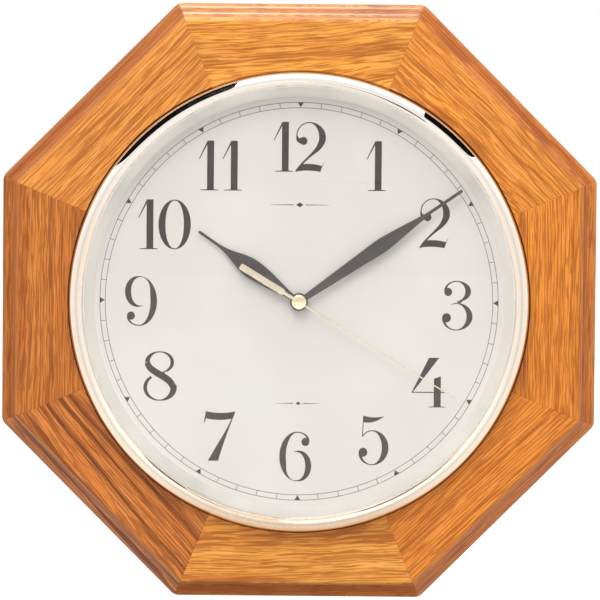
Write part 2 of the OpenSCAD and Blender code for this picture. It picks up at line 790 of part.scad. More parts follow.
stave_top();
stave_upper_right();
stave_right();
stave_lower_right();
stave_bottom();
stave_lower_left();
stave_left();
stave_upper_left();
hanger_plate();
hanger_screw_left();
hanger_screw_right();
dial_pan();
pan_screw_upper_right();
pan_screw_lower_right();
pan_screw_lower_left();
pan_screw_upper_left();
dial();
inner_ring();
crystal_gasket();
crystal();
bezel();
hour_hand();
minute_hand();
second_hand();
second_hand_cap();
centre_bushing();
front_plate();
middle_plate();
train_bridge();
rear_case();
case_screw_a();
case_screw_b();
case_screw_c();
case_screw_d();
bridge_screw();
movement_screw_left();
movement_screw_right();
hour_wheel();
minute_pipe();
centre_wheel();
second_arbor();
second_wheel();
third_wheel();
fifth_wheel();
rotor_pinion();
rotor_magnet();
reduction_wheel();
setting_knob();
setting_gear();
stator();
coil_core();
coil_bobbin();
coil_winding();
circuit_board();
quartz_can();
chip();
battery();
positive_contact();
negative_contact();
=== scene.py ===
import math

import bmesh
import bpy
from mathutils import Matrix, Vector
from mathutils.geometry import delaunay_2d_cdt


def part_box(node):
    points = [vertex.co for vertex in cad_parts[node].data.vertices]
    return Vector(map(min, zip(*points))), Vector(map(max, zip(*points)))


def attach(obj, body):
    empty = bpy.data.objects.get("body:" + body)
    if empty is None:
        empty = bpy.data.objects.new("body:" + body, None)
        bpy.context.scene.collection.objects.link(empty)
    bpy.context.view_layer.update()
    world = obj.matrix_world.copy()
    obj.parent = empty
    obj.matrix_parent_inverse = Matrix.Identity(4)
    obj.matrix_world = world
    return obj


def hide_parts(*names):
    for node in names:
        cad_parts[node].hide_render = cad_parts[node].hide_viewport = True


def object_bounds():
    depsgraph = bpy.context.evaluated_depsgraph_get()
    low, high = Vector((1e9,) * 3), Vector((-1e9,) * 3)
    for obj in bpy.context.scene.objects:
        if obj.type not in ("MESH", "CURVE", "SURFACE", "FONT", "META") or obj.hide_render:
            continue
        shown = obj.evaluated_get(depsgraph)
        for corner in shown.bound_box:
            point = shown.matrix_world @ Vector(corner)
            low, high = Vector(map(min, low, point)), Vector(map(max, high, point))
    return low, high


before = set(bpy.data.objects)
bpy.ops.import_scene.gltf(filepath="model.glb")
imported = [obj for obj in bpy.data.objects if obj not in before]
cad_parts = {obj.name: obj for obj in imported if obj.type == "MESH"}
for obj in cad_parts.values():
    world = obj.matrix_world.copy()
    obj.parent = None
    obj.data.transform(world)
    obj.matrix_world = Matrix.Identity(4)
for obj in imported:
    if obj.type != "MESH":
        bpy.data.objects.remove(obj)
cad_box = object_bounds()

# ------------------------------------------------------------------ places
MM = 0.001
lo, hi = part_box("second_hand_cap")
AX, AZ = (lo.x + hi.x) / 2, (lo.z + hi.z) / 2  # the hands' axis, in metres
CENTRE = Vector((AX, 0, AZ))

# from here on sizes are in mm: heights in front of the wall, and radii from the hands' axis
HALF = (cad_box[1].x - cad_box[0].x) / 2 / MM  # half the width across the flats
DIAL_H = -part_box("dial")[0].y / MM
RING_H = -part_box("inner_ring")[0].y / MM
FACE_H = -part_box("stave_right")[0].y / MM
OPENING, LIP = 117.8, 118.05  # the round opening, and its rim in the oak's face
RELIEF, SEAT = 118.7, 124.0  # the opening behind its lip, and the recess for the pan
FLAT, NOSE = 142.8, 2.6  # where the flat face ends, and the radius of the rounded nose there
COVE = 3.0  # radius of the cove behind the nose, and of the shoulder behind the cove
CORNER_IN, CORNER_OUT = 1.5, 6.0  # radii of the octagon's corners, at the face's edge and outside
MITRE = 22.5  # half a stave's angle, in degrees
EASE = 0.22  # width of the eased arris at a mitre
BOARD_Z, BOARD_Y = 131.0, -25.0  # about where the face's middle lies in a stave's own Z and Y


def at(x, h, z):
    """A point x right of and z above the hands' axis, h in front of the wall, all in mm."""
    return Vector((AX + x * MM, -h * MM, AZ + z * MM))


# ------------------------------------------------------------------ colours
def lin(c):
    """An sRGB colour, 0 to 255, in linear light."""
    return tuple(((v / 255 + 0.055) / 1.055) ** 2.4 if v > 10 else v / 255 / 12.92 for v in c) + (1.0,)


def scaled(colour, *factors):
    """A colour darkened by one factor, or tinted by one for each channel."""
    return tuple(v * k for v, k in zip(lin(colour), factors * (3 // len(factors)))) + (1.0,)


class Shader:
    """A small helper that adds nodes to one material."""

    def __init__(self, name, **fixed):
        self.m = bpy.data.materials.new(name)
        self.m.use_nodes = True
        self.t = self.m.node_tree
        self.b = self.t.nodes["Principled BSDF"]
        for k, v in fixed.items():
            self.b.inputs[k.replace("_", " ")].default_value = v

    def put(self, sock, v):
        if isinstance(v, bpy.types.NodeSocket):
            self.t.links.new(v, sock)
        else:
            sock.default_value = v

    def node(self, kind, out=0, props=None, **ins):
        """A node's output; i0, i1 and so on name an input by its number."""
        n = self.t.nodes.new("ShaderNode" + kind)
        for k, v in (props or {}).items():
            setattr(n, k, v)
        for k, v in ins.items():
            k = k.replace("_", " ")
            self.put(n.inputs[int(k[1:])] if k[0] == "i" and k[1:].isdigit() else n.inputs[k], v)
        return n.outputs[out]

    def math(self, op, a, b=0.0, c=None, clamp=False):
        ins = {"i0": a, "i1": b}
        if c is not None:
            ins["i2"] = c
        return self.node("Math", props={"operation": op, "use_clamp": clamp}, **ins)

    def mix(self, f, a, b):
        return self.node("Mix", out=2, props={"data_type": "RGBA"}, i0=f, i6=a, i7=b)

    def smooth(self, v, a, b, lo=0.0, hi=1.0):
        """Goes softly from lo to hi as v goes from a to b."""
        props = {"interpolation_type": "SMOOTHSTEP"}
        return self.node("MapRange", props=props, Value=v, From_Min=a, From_Max=b, To_Min=lo, To_Max=hi)

    def band(self, v, a, b, c, d):
        """1 while v is from b to c, and softly down to 0 at a and at d."""
        return self.math("MULTIPLY", self.smooth(v, a, b), self.smooth(v, c, d, 1.0, 0.0))

    def coord(self, scale=(1, 1, 1), offset=(0, 0, 0)):
        """Object coordinates in mm, stretched."""
        src = self.node("TexCoord", out=3)
        return self.node("Mapping", Vector=src, Location=offset, Scale=[s / MM for s in scale])

    def xyz(self, vec):
        return self.node("SeparateXYZ", Vector=vec).node.outputs

    def noise(self, vec, scale=1.0, detail=2.0, rough=0.5):
        return self.node("TexNoise", Vector=vec, Scale=scale, Detail=detail, Roughness=rough)

    def bump(self, height, depth, strength=1.0):
        """Relief of a depth in mm."""
        n = self.node("Bump", Height=height, Distance=depth * MM, Strength=strength)
        self.put(self.b.inputs["Normal"], n)

    def set(self, sock, v):
        self.put(self.b.inputs[sock], v)
        return self


def plastic(name, colour, rough, grain=0.02, scale=2.2, spread=0.12):
    """Moulded plastic: a fine spark-eroded texture, and slightly uneven colour and gloss."""
    s = Shader(name)
    fine = s.noise(s.coord(), scale, 3)
    broad = s.noise(s.coord(), 0.05, 2)
    s.set("Base Color", s.mix(s.smooth(broad, 0.3, 0.7), scaled(colour, 1 - spread), lin(colour)))
    s.set("Roughness", s.smooth(fine, 0.3, 0.7, rough - 0.06, rough + 0.06))
    s.bump(fine, grain)
    return s.m


def metal(name, colour, rough, streak=(1, 1, 1), scale=1.5, spread=0.06, depth=0.002, wear=0.1):
    """Metal with fine streaks along one direction, or a cloudy plating where streak is even."""
    s = Shader(name, Metallic=1.0)
    fine = s.noise(s.coord(streak), scale, 4, 0.6)
    broad = s.noise(s.coord(), 0.12, 2)
    s.set("Base Color", s.mix(s.smooth(broad, 0.35, 0.65), scaled(colour, 1 - wear), lin(colour)))
    s.set("Roughness", s.smooth(fine, 0.3, 0.7, max(rough - spread, 0.02), rough + spread))
    s.bump(fine, depth)
    return s.m


def oak(name, seed, light, dark, pith, rings, tilt, wave, bands, dive=0.0, hatch=0.7, streaks=0.2,
        early=0.1, wiggle=0.3, moulding_shade=0.2, comb=0.8, pitch=1.6, broad=0.13, gloss=0.0, rim_shadow=1.0):
    """Golden oak along local X, with Z across the board and Y through it: growth rings cut by
    the board's face, open pores as dark dashes that follow the rings, broad brown bands, red
    streaks, painted shade in the moulding, a painted shadow on the arris round the opening,
    and a satin varnish. pith is where the tree's heart lies, through the board and across
    it, and rings and pitch are in mm."""
    s = Shader(name, Coat_IOR=2.0, Coat_Roughness=0.2, Specular_IOR_Level=0.2)
    o = (seed * 13.7, seed * 7.3, seed * 9.1)  # each stave has its own place in the noise
    slow = s.noise(s.coord((0.013, 0.02, 0.02), o), 1.0, 1)
    quick = s.noise(s.coord((0.04, 0.08, 0.08), o))
    x, y, z = s.xyz(s.coord())
    across = s.math("MULTIPLY_ADD", x, tilt, s.math("SUBTRACT", z, BOARD_Z + pith[1]))
    across = s.math("MULTIPLY_ADD", s.math("SUBTRACT", slow, 0.5), wave * 8, across)
    through = s.math("MULTIPLY_ADD", x, dive, s.math("ADD", y, pith[0]))
    squares = s.math("ADD", s.math("MULTIPLY", across, across), s.math("MULTIPLY", through, through))
    w = s.math("MULTIPLY_ADD", s.math("SUBTRACT", quick, 0.5), wiggle * 2, s.math("SQRT", squares))
    # the face cuts the rings at a slant, so a step across the face is a smaller step in w
    face = s.math("MULTIPLY", w, math.hypot(pith[0] + BOARD_Y, pith[1]) / abs(pith[1]))

    def along(fx, fw, detail=2.0, rough=0.5, shift=0.0):
        """Noise laid out along the rings: fx per mm along the grain, fw per mm across the face."""
        run, rise = s.math("MULTIPLY", x, fx), s.math("MULTIPLY", face, fw)
        return s.noise(s.node("CombineXYZ", X=run, Y=rise, Z=o[0] + shift), 1.0, detail, rough)

    part = s.math("FRACT", s.math("ADD", s.math("DIVIDE", w, rings), s.math("MULTIPLY", quick, 0.5)))
    spring = s.band(part, 0.0, 0.12, 0.25, 0.6)
    brown = s.smooth(along(0.003, broad, 3, 0.6, 3.0), 0.5, 0.64)
    thick = s.math("MULTIPLY_ADD", spring, 0.05, along(0.045, 0.95, 1, 0.5, 5.0))
    thick = s.math("MULTIPLY_ADD", brown, 0.06, thick)
    pores = s.math("ADD", s.smooth(thick, 0.56, 0.63, 0.0, 0.6), s.smooth(thick, 0.63, 0.73, 0.0, 0.3))
    hair = s.smooth(along(0.08, 1.9, 1, 0.5, 43.0), 0.55, 0.61, 0.0, 0.75)
    pores = s.math("MAXIMUM", pores, hair)
    sway = along(0.008, 0.08, 1, 0.5, 31.0)
    phase = s.math("MULTIPLY_ADD", sway, 2.0, s.math("DIVIDE", face, pitch))
    lines = s.smooth(s.math("COSINE", s.math("MULTIPLY", phase, 2 * math.pi)), 0.5, 0.9)
    lines = s.math("MULTIPLY", lines, s.smooth(along(0.03, 0.5, 1, 0.5, 37.0), 0.38, 0.50))
    pores = s.math("MAXIMUM", pores, s.math("MULTIPLY", lines, comb))
    fibre = along(0.05, 1.1, 4, 0.7, 15.0)
    red = s.smooth(along(0.008, 0.2, 3, 0.6, 21.0), 0.48, 0.66)

    ripe, pale = scaled(light, 0.92, 0.85, 0.62), scaled(light, 1.05, 1.11, 1.5)
    rust, deep = scaled(light, 0.62, 0.38, 0.26), scaled(dark, 0.6, 0.44, 0.25)
    col = s.mix(s.smooth(fibre, 0.38, 0.62), ripe, pale)
    col = s.mix(s.math("MULTIPLY", brown, bands, clamp=True), col, lin(dark))
    col = s.mix(s.math("MULTIPLY", red, streaks), col, rust)
    col = s.mix(s.math("MULTIPLY", spring, early), col, lin(dark))
    col = s.mix(s.math("MULTIPLY", pores, hatch, clamp=True), col, deep)
    # painted shade darkens the moulding, by an amount set for each stave, and its cove; a painted shadow
    # darkens the arris round the opening
    nose = s.math("MULTIPLY", s.smooth(z, FLAT + 0.6, FLAT + 2.8), moulding_shade)
    cove = s.math("MULTIPLY", s.band(z, FLAT + 2.4, FLAT + 3.0, FLAT + 3.4, FLAT + 4.8), 0.3)
    col = s.mix(s.math("MAXIMUM", nose, cove), col, deep)
    radius = s.math("SQRT", s.math("ADD", s.math("MULTIPLY", x, x), s.math("MULTIPLY", z, z)))
    col = s.mix(s.smooth(radius, LIP + 0.3, LIP + 0.7, rim_shadow, 0.0), col, (0.018, 0.01, 0.007, 1))
    s.set("Base Color", col)
    # the moulding's polish differs from stave to stave
    rubbed = s.band(z, FLAT + 0.8, FLAT + 2.2, HALF - 0.9, HALF - 0.2)
    s.set("Coat Weight", s.math("MULTIPLY_ADD", rubbed, gloss, 0.07))
    s.set("Roughness", s.smooth(fibre, 0.3, 0.7, 0.36, 0.48))
    s.bump(s.math("SUBTRACT", s.math("MULTIPLY", fibre, 0.25), pores), 0.05, 0.6)
    return s.m


# ------------------------------------------------------------------ meshes
def add(name, data):
    """A new object in the scene."""
    o = bpy.data.objects.new(name, data)
    bpy.context.scene.collection.objects.link(o)
    return o


def mesh(name, verts, faces):
    me = bpy.data.meshes.new(name)
    me.from_pydata([tuple(v) for v in verts], [], faces)
    return me


def piece(name, verts, faces, material, body, nodes=(), angle=32, turn=None):
    """A piece with smooth faces, and sharp edges where they meet at more than an angle."""
    me = mesh(name, verts, faces)
    me.validate()
    bm = bmesh.new()
    bm.from_mesh(me)
    bmesh.ops.recalc_face_normals(bm, faces=bm.faces[:])
    for f in bm.faces:
        f.smooth = True
    for e in bm.edges:
        e.smooth = len(e.link_faces) == 2 and e.calc_face_angle(0.0) < math.radians(angle)
    bm.to_mesh(me)
    bm.free()
    o = add(name, me)
    if turn is not None:
        o.matrix_world = turn
    me.materials.append(material)
    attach(o, body)
    if nodes:
        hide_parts(*nodes)
    return o


def skin(k, n, closed=False):
    """Faces over n sections of k points each: a closed loop of them, or a run with capped ends."""
    faces = []
    for j in range(n if closed else n - 1):
        p, q = j * k, (j + 1) % n * k
        for i in range(k):
            faces.append((p + i, p + (i + 1) % k, q + (i + 1) % k, q + i))
    if not closed:
        faces += [tuple(range(k - 1, -1, -1)), tuple(range((n - 1) * k, n * k))]
    return faces


def lathe(outline, n):
    """Turns a closed outline of (radius, h) round the hands' axis."""
    verts = []
    for j in range(n):
        a = 2 * math.pi * j / n
        verts += [at(r * math.sin(a), h, r * math.cos(a)) for r, h in outline]
    return verts, skin(len(outline), n, closed=True)


def arc(cx, cy, r, a0, a1, n):
    turns = [math.radians(a0 + (a1 - a0) * i / n) for i in range(n + 1)]
    return [(cx + r * math.cos(t), cy + r * math.sin(t)) for t in turns]


# ------------------------------------------------------------------ the oak frame
def side_reach(reach, phi):
    """Distance from the axis to one side of the octagon, whose corners are sanded rounder
    towards the outside."""
    phi = abs(phi)
    tan = math.tan(math.radians(MITRE))
    outward = min(max((reach - FLAT) / (HALF - FLAT), 0), 1)
    rho = CORNER_IN + (CORNER_OUT - CORNER_IN) * outward
    c = reach - rho
    if reach * math.tan(phi) <= c * tan:
        return reach / math.cos(phi)
    dot = c * math.cos(phi) + c * tan * math.sin(phi)
    return dot + math.sqrt(max(dot * dot - c * c * (1 + tan * tan) + rho * rho, 0))


def stave_outline():
    """The stave's section as (kind, size, h). Kind "c" has its radius as its size and follows the
    round opening, "s" has its reach and follows the side, and "m" lies a part of the way between."""
    out = [("c", RELIEF, 21.0), ("c", OPENING, 22.0), ("c", OPENING, 25.75)]
    out += [("c", OPENING + 0.08, 25.93), ("c", LIP, FACE_H)]
    out += [("m", f, FACE_H) for f in (0.2, 0.5, 0.8)]
    out += [("s", r, h) for r, h in arc(FLAT, FACE_H - NOSE, NOSE, 90, 0, 9)]
    out += [("s", FLAT + NOSE, 21.2), ("s", FLAT + NOSE, 19.2)]
    out += [("s", r, h) for r, h in arc(FLAT + NOSE + COVE, 19.0, COVE, 180, 270, 9)]
    out += [("s", HALF - COVE - 0.96, 15.3), ("s", HALF - COVE - 0.7, 15.02)]
    out += [("s", r, h) for r, h in arc(HALF - COVE, 12.0, COVE, 90, 0, 10)]
    out += [("s", HALF, 6.0), ("s", HALF, 0.5), ("s", HALF - 0.35, 0.08), ("s", HALF - 0.6, 0.0)]
    out += [("c", SEAT + 0.2, 0.0), ("c", SEAT, 0.2), ("c", SEAT, 3.2), ("c", RELIEF, 3.2)]
    return out


def stave_mesh():
    """Sections from mitre to mitre, each at an angle from the stave's middle; the last few stand
    a gap away from the mitre, and sink towards it to ease the arris."""
    outline = stave_outline()
    gaps = (0.02, 0.12, EASE)
    ends = [21.5, 21.75, 21.95, 22.12, 22.26, 22.38]
    cols = [(-MITRE, gap) for gap in gaps] + [(-a, None) for a in reversed(ends)]
    cols += [(i / 20 * 21.2, None) for i in range(-20, 21)]
    cols += [(a, None) for a in ends] + [(MITRE, gap) for gap in reversed(gaps)]
    verts = []
    for deg, gap in cols:
        phi = math.radians(deg)
        sink = 0.0 if gap is None else (EASE - gap) * 0.6
        for kind, size, h in outline:
            if kind == "c":
                r = size
            elif kind == "s":
                r = side_reach(size, phi)
            else:
                r = (1 - size) * LIP + size * side_reach(FLAT, phi)
            # the arrises of the face and the moulding are eased, not those at the back
            if h > 2 and (kind != "c" or h > 25):
                if h > 18:
                    h -= sink
                if kind == "s" and size > FLAT + 0.2:
                    r -= sink
            x, z = r * math.sin(phi), r * math.cos(phi)
            if gap is not None:
                x -= math.copysign(gap * math.cos(phi), phi)
                z += gap * math.sin(abs(phi))
            verts.append((x * MM, -h * MM, z * MM))
    return verts, skin(len(outline), len(cols))


# clockwise from the top, an eighth of a turn apart
# each stave's painted shade on the moulding and painted shadow round the opening are set here, with its
# colours
STAVES = {
    "stave_top": dict(
        light=(252, 170, 68), dark=(189, 105, 39), pith=(-44, -34), rings=4.2, tilt=-0.05, wave=0.7,
        bands=0.25, dive=0.02, hatch=0.75, early=0.15, wiggle=0.5, comb=0.5, pitch=2.0, moulding_shade=0.25,
        gloss=0.9, rim_shadow=0.6),
    "stave_upper_right": dict(
        light=(254, 165, 66), dark=(189, 102, 36), pith=(-44, -30), rings=3.8, tilt=0.06, wave=0.8,
        bands=0.35, dive=0.03, hatch=0.75, early=0.15, wiggle=0.45, comb=0.6, pitch=1.7, moulding_shade=0.5,
        gloss=0.1),
    "stave_right": dict(
        light=(248, 153, 54), dark=(169, 85, 28), pith=(-60, 40), rings=2.7, tilt=-0.02, wave=0.4,
        bands=0.45, dive=0.01, streaks=0.25, gloss=0.12),
    "stave_lower_right": dict(
        light=(251, 154, 57), dark=(183, 94, 33), pith=(-80, 60), rings=2.4, tilt=0.03, wave=0.15,
        bands=0.2, streaks=0.12, wiggle=0.1, gloss=0.4),
    "stave_bottom": dict(
        light=(255, 174, 73), dark=(198, 105, 39), pith=(-44, -34), rings=4.6, tilt=0.02, wave=0.8,
        bands=0.3, dive=0.03, hatch=0.75, early=0.15, wiggle=0.5, comb=0.5, pitch=2.0, moulding_shade=0.65),
    "stave_lower_left": dict(
        light=(237, 143, 63), dark=(120, 56, 24), pith=(-70, 30), rings=3.2, tilt=0.02, wave=0.5,
        bands=0.78, dive=0.02, broad=0.2, streaks=0.25, early=0.12, moulding_shade=0.0, gloss=0.35),
    "stave_left": dict(
        light=(225, 136, 55), dark=(144, 73, 28), pith=(-50, 24), rings=3.0, tilt=-0.02, wave=0.5,
        bands=0.45, dive=0.01, streaks=0.5, early=0.12),
    "stave_upper_left": dict(
        light=(251, 165, 73), dark=(185, 103, 40), pith=(-80, 50), rings=2.6, tilt=-0.02, wave=0.2,
        bands=0.35, streaks=0.15, wiggle=0.1, moulding_shade=0.6, gloss=0.1),
}
verts, faces = stave_mesh()
staves = {}
for i, (name, look) in enumerate(STAVES.items()):
    wood = oak("oak_" + name, i + 1, **look)
    spin = Matrix.Translation(CENTRE) @ Matrix.Rotation(math.radians(2 * MITRE * i), 4, "Y")
    title = name.replace("stave", "oak")
    staves[name] = piece(title, verts, faces, wood, "clock_case", (name,), 30, spin)


def cut(target, verts, faces):
    """Takes a closed shape out of a piece."""
    me = mesh("cutter", verts, faces)
    bm = bmesh.new()
    bm.from_mesh(me)
    bmesh.ops.recalc_face_normals(bm, faces=bm.faces[:])
    bm.to_mesh(me)
    bm.free()
    tool = add("cutter", me)
    mod = target.modifiers.new("cut", "BOOLEAN")
    mod.operation, mod.solver, mod.object = "DIFFERENCE", "EXACT", tool
    bpy.context.view_layer.update()
    done = target.evaluated_get(bpy.context.evaluated_depsgraph_get())
    done = bpy.data.meshes.new_from_object(done)
    target.modifiers.clear()
    target.data = done
    bpy.data.objects.remove(tool)


def prism(ring, h1):
    """A closed shape over a plan outline of (x, z) in mm, measured from the keyhole's entry, from
    just behind the wall plane to a height."""
    k = len(ring)
    verts = [Vector((x * MM, -h * MM, z * MM)) for h in (-1.0, h1) for x, z in ring]
    faces = [tuple(range(k)), tuple(range(2 * k - 1, k - 1, -1))]
    faces += [(i, (i + 1) % k, k + (i + 1) % k, k + i) for i in range(k)]
    return verts, faces


# a seat for the hanger plate, and the hollow behind its keyhole for the screw's head
ROUND_PLATE, BEHIND_PLATE = 0.06, 0.01
lo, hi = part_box("hanger_plate")
x0, z0 = lo.x / MM - ROUND_PLATE, lo.z / MM - ROUND_PLATE
x1, z1 = hi.x / MM + ROUND_PLATE, hi.z / MM + ROUND_PLATE
cut(staves["stave_top"], *prism([(x0, z0), (x1, z0), (x1, z1), (x0, z1)], -lo.y / MM + BEHIND_PLATE))
WELL_R, WELL_RISE, WELL_H = 5.6, 7.5, 8.5
well = arc(0, WELL_RISE, WELL_R, 0, 180, 24) + arc(0, 0, WELL_R, 180, 360, 24)
cut(staves["stave_top"], *prism(well, WELL_H))


# ------------------------------------------------------------------ flat printed shapes
# Numerals are drawn in units of their own height, as rings that add ink (1) or cut it out (-1).
def ellipse(cx, cy, rx, ry, a0=0.0, a1=360.0, n=72, square=1.0):
    """A run of points on an ellipse, open where it isn't a whole turn; square below 1 fills its
    corners out."""
    pts = []
    for i in range(n + (abs(a1 - a0) < 359.9)):
        t = math.radians(a0 + (a1 - a0) * i / n)
        c, s = math.cos(t), math.sin(t)
        c, s = math.copysign(abs(c) ** square, c), math.copysign(abs(s) ** square, s)
        pts.append((cx + rx * c, cy + ry * s))
    return pts


def crescent(cx, cy, rx, ry, a0, a1, thick, thin=0.02):
    """A bowl: outer ellipse, and inner ellipse narrower by thick at the sides and thin at the ends."""
    return ellipse(cx, cy, rx, ry, a0, a1, 64) + ellipse(cx, cy, rx - thick, ry - thin, a1, a0, 64)


def pen(points, n=10):
    """A stroke of changing width, smooth through a few (x, y, width) stations."""
    p = [points[0]] + list(points) + [points[-1]]
    run = []
    for i in range(1, len(p) - 2):
        for t in [j / n for j in range(n)]:
            run.append(tuple(
                0.5 * (2 * b + (c - a) * t + (2 * a - 5 * b + 4 * c - d) * t * t
                       + (3 * b - a - 3 * c + d) * t ** 3)
                for a, b, c, d in zip(p[i - 1], p[i], p[i + 1], p[i + 2])
            ))
    run.append(points[-1])
    left, right = [], []
    for i, (x, y, w) in enumerate(run):
        a, b = run[max(i - 1, 0)], run[min(i + 1, len(run) - 1)]
        dx, dy = b[0] - a[0], b[1] - a[1]
        d = math.hypot(dx, dy) or 1.0
        left.append((x - dy / d * w / 2, y + dx / d * w / 2))
        right.append((x + dy / d * w / 2, y - dx / d * w / 2))
    return left + right[::-1]


def sag(a, b, drop):
    """From a to b with a gentle bow."""
    run = [i / 12 for i in range(13)]
    return [(a[0] + (b[0] - a[0]) * t, a[1] + (b[1] - a[1]) * t - drop * 4 * t * (1 - t)) for t in run]


def ball(x, y, r):
    return ellipse(x, y, r, r * 1.04, n=40)


def inked(*rings):
    return [(ring, 1) for ring in rings]


def figure_1():
    stem = [(0.165, 0.0), (0.302, 0.0), (0.302, 1.0), (0.172, 1.0), (0.165, 0.985)]
    flag = [(0.0, 0.637), (0.012, 0.625), (0.175, 0.935), (0.175, 0.995), (0.162, 0.985)]
    foot = [(0.03, 0.0), (0.39, 0.0), (0.39, 0.014), (0.30, 0.024), (0.16, 0.024), (0.03, 0.014)]
    return inked(stem, flag, foot)


def figure_2():
    right = crescent(0.27, 0.69, 0.33, 0.31, 90, -8, 0.135)
    left = crescent(0.27, 0.73, 0.262, 0.27, 90, 184, 0.022)
    neck = pen([(0.018, 0.735, 0.02), (0.028, 0.68, 0.05), (0.062, 0.635, 0.09), (0.13, 0.62, 0.13)])
    tail = pen([
        (0.5345, 0.70, 0.132), (0.528, 0.635, 0.132), (0.497, 0.555, 0.118), (0.43, 0.455, 0.088),
        (0.33, 0.36, 0.056), (0.22, 0.255, 0.04), (0.105, 0.14, 0.036), (0.05, 0.07, 0.036), (0.0, 0.0, 0.03),
    ], 8)
    base = [(-0.02, 0.0)] + sag((-0.02, 0.0), (0.495, 0.0), -0.026)[1:]
    base += [(0.535, 0.118), (0.578, 0.206), (0.56, 0.185), (0.523, 0.122)]
    base += sag((0.523, 0.122), (0.105, 0.15), -0.022)[1:]
    return inked(right, left, neck, ball(0.153, 0.62, 0.078), tail, base)


def figure_3():
    top = crescent(0.285, 0.787, 0.292, 0.213, 90, -86, 0.114)
    hook = crescent(0.285, 0.80, 0.246, 0.20, 90, 186, 0.045)
    low = crescent(0.276, 0.28, 0.336, 0.28, -90, 80, 0.12)
    curl = crescent(0.276, 0.25, 0.276, 0.25, -90, -186, 0.055)
    bar = pen([(0.40, 0.583, 0.02), (0.33, 0.558, 0.026), (0.26, 0.544, 0.02), (0.178, 0.523, 0.008)])
    return inked(top, hook, low, curl, bar, ball(0.118, 0.776, 0.079), ball(0.089, 0.255, 0.089))


def figure_4():
    slant = [(0.0, 0.30), (0.345, 1.0), (0.552, 1.0), (0.028, 0.31)]
    bar = [(0.0, 0.293), (0.68, 0.293), (0.68, 0.313), (0.0, 0.313)]
    stem = [(0.447, 0.0), (0.588, 0.0), (0.588, 0.628), (0.447, 0.578)]
    foot = [(0.345, 0.0), (0.68, 0.0), (0.68, 0.012), (0.588, 0.022), (0.447, 0.022), (0.345, 0.012)]
    return inked(slant, bar, stem, foot)


def figure_5():
    bowl = crescent(0.27, 0.353, 0.33, 0.353, -90, 90, 0.134)
    rise = crescent(0.27, 0.50, 0.215, 0.206, 90, 158, 0.02)
    curl = crescent(0.27, 0.24, 0.27, 0.24, -90, -186, 0.06)
    stem = [(0.066, 0.57), (0.086, 0.585), (0.10, 0.99), (0.084, 0.99)]
    flag = sag((0.084, 1.0), (0.515, 0.992), 0.03) + sag((0.515, 0.992), (0.084, 0.868), 0.055)[1:]
    return inked(bowl, rise, curl, stem, flag, ball(0.088, 0.26, 0.088))


def figure_6():
    back = crescent(0.355, 0.5, 0.355, 0.5, 80, 272, 0.13)
    bow = ellipse(0.392, 0.31, 0.252, 0.31)
    eye = ellipse(0.330, 0.305, 0.192, 0.287, square=0.93)
    over = crescent(0.355, 0.82, 0.247, 0.18, 92, -14, 0.045)
    return inked(back, bow, over, ball(0.522, 0.795, 0.08)) + [(eye, -1)]


def figure_7():
    bar = sag((0.037, 1.0), (0.634, 1.0), 0.034) + [(0.60, 0.90), (0.553, 0.85)]
    bar += sag((0.553, 0.85), (0.024, 0.86), 0.03)[1:]
    tick = [(0.0, 0.77), (0.012, 0.765), (0.05, 0.87), (0.055, 0.99), (0.037, 0.99)]
    leg = [(0.634, 1.0), (0.585, 0.87), (0.535, 0.735), (0.465, 0.54), (0.40, 0.35), (0.345, 0.18)]
    leg += [(0.29, 0.0), (0.084, 0.0), (0.272, 0.325), (0.40, 0.54), (0.475, 0.68), (0.555, 0.85)]
    return inked(bar, tick, leg)


def figure_8():
    def loop(cx, cy, rx, ry, turns, right, right_power, left, left_power):
        """Stations round an ellipse, thicker by right and left at its two sides."""
        run = []
        for t in turns:
            c, s = math.cos(math.radians(t)), math.sin(math.radians(t))
            width = 0.02 + right * max(c, 0) ** right_power + left * max(-c, 0) ** left_power
            run.append((cx + rx * c, cy + ry * s, width))
        return pen(run, 1)

    up = loop(0.338, 0.778, 0.250, 0.208, range(-60, 181, 8), 0.05, 1.5, 0.075, 2)
    down = loop(0.332, 0.268, 0.286, 0.256, range(12, -241, -8), 0.11, 1.6, 0.055, 1.5)
    join = [(0.45, 0.60, 0.03), (0.415, 0.573, 0.03), (0.36, 0.545, 0.03), (0.30, 0.52, 0.02)]
    spine = [(0.088, 0.775, 0.11), (0.105, 0.715, 0.118), (0.155, 0.65, 0.128), (0.25, 0.58, 0.134)]
    spine += [(0.355, 0.52, 0.138), (0.46, 0.455, 0.14), (0.545, 0.385, 0.136), (0.60, 0.30, 0.128)]
    return inked(up, down, pen(join, 6), pen(spine, 6))


def figure_9():
    """A 6 turned half a turn."""
    return [([(0.64 - x, 1.0 - y) for x, y in ring], sign) for ring, sign in figure_6()]


def figure_0():
    return [(ellipse(0.325, 0.5, 0.325, 0.5), 1), (ellipse(0.325, 0.5, 0.185, 0.481, square=0.95), -1)]


FIGURES = [figure_0, figure_1, figure_2, figure_3, figure_4, figure_5, figure_6, figure_7, figure_8, figure_9]


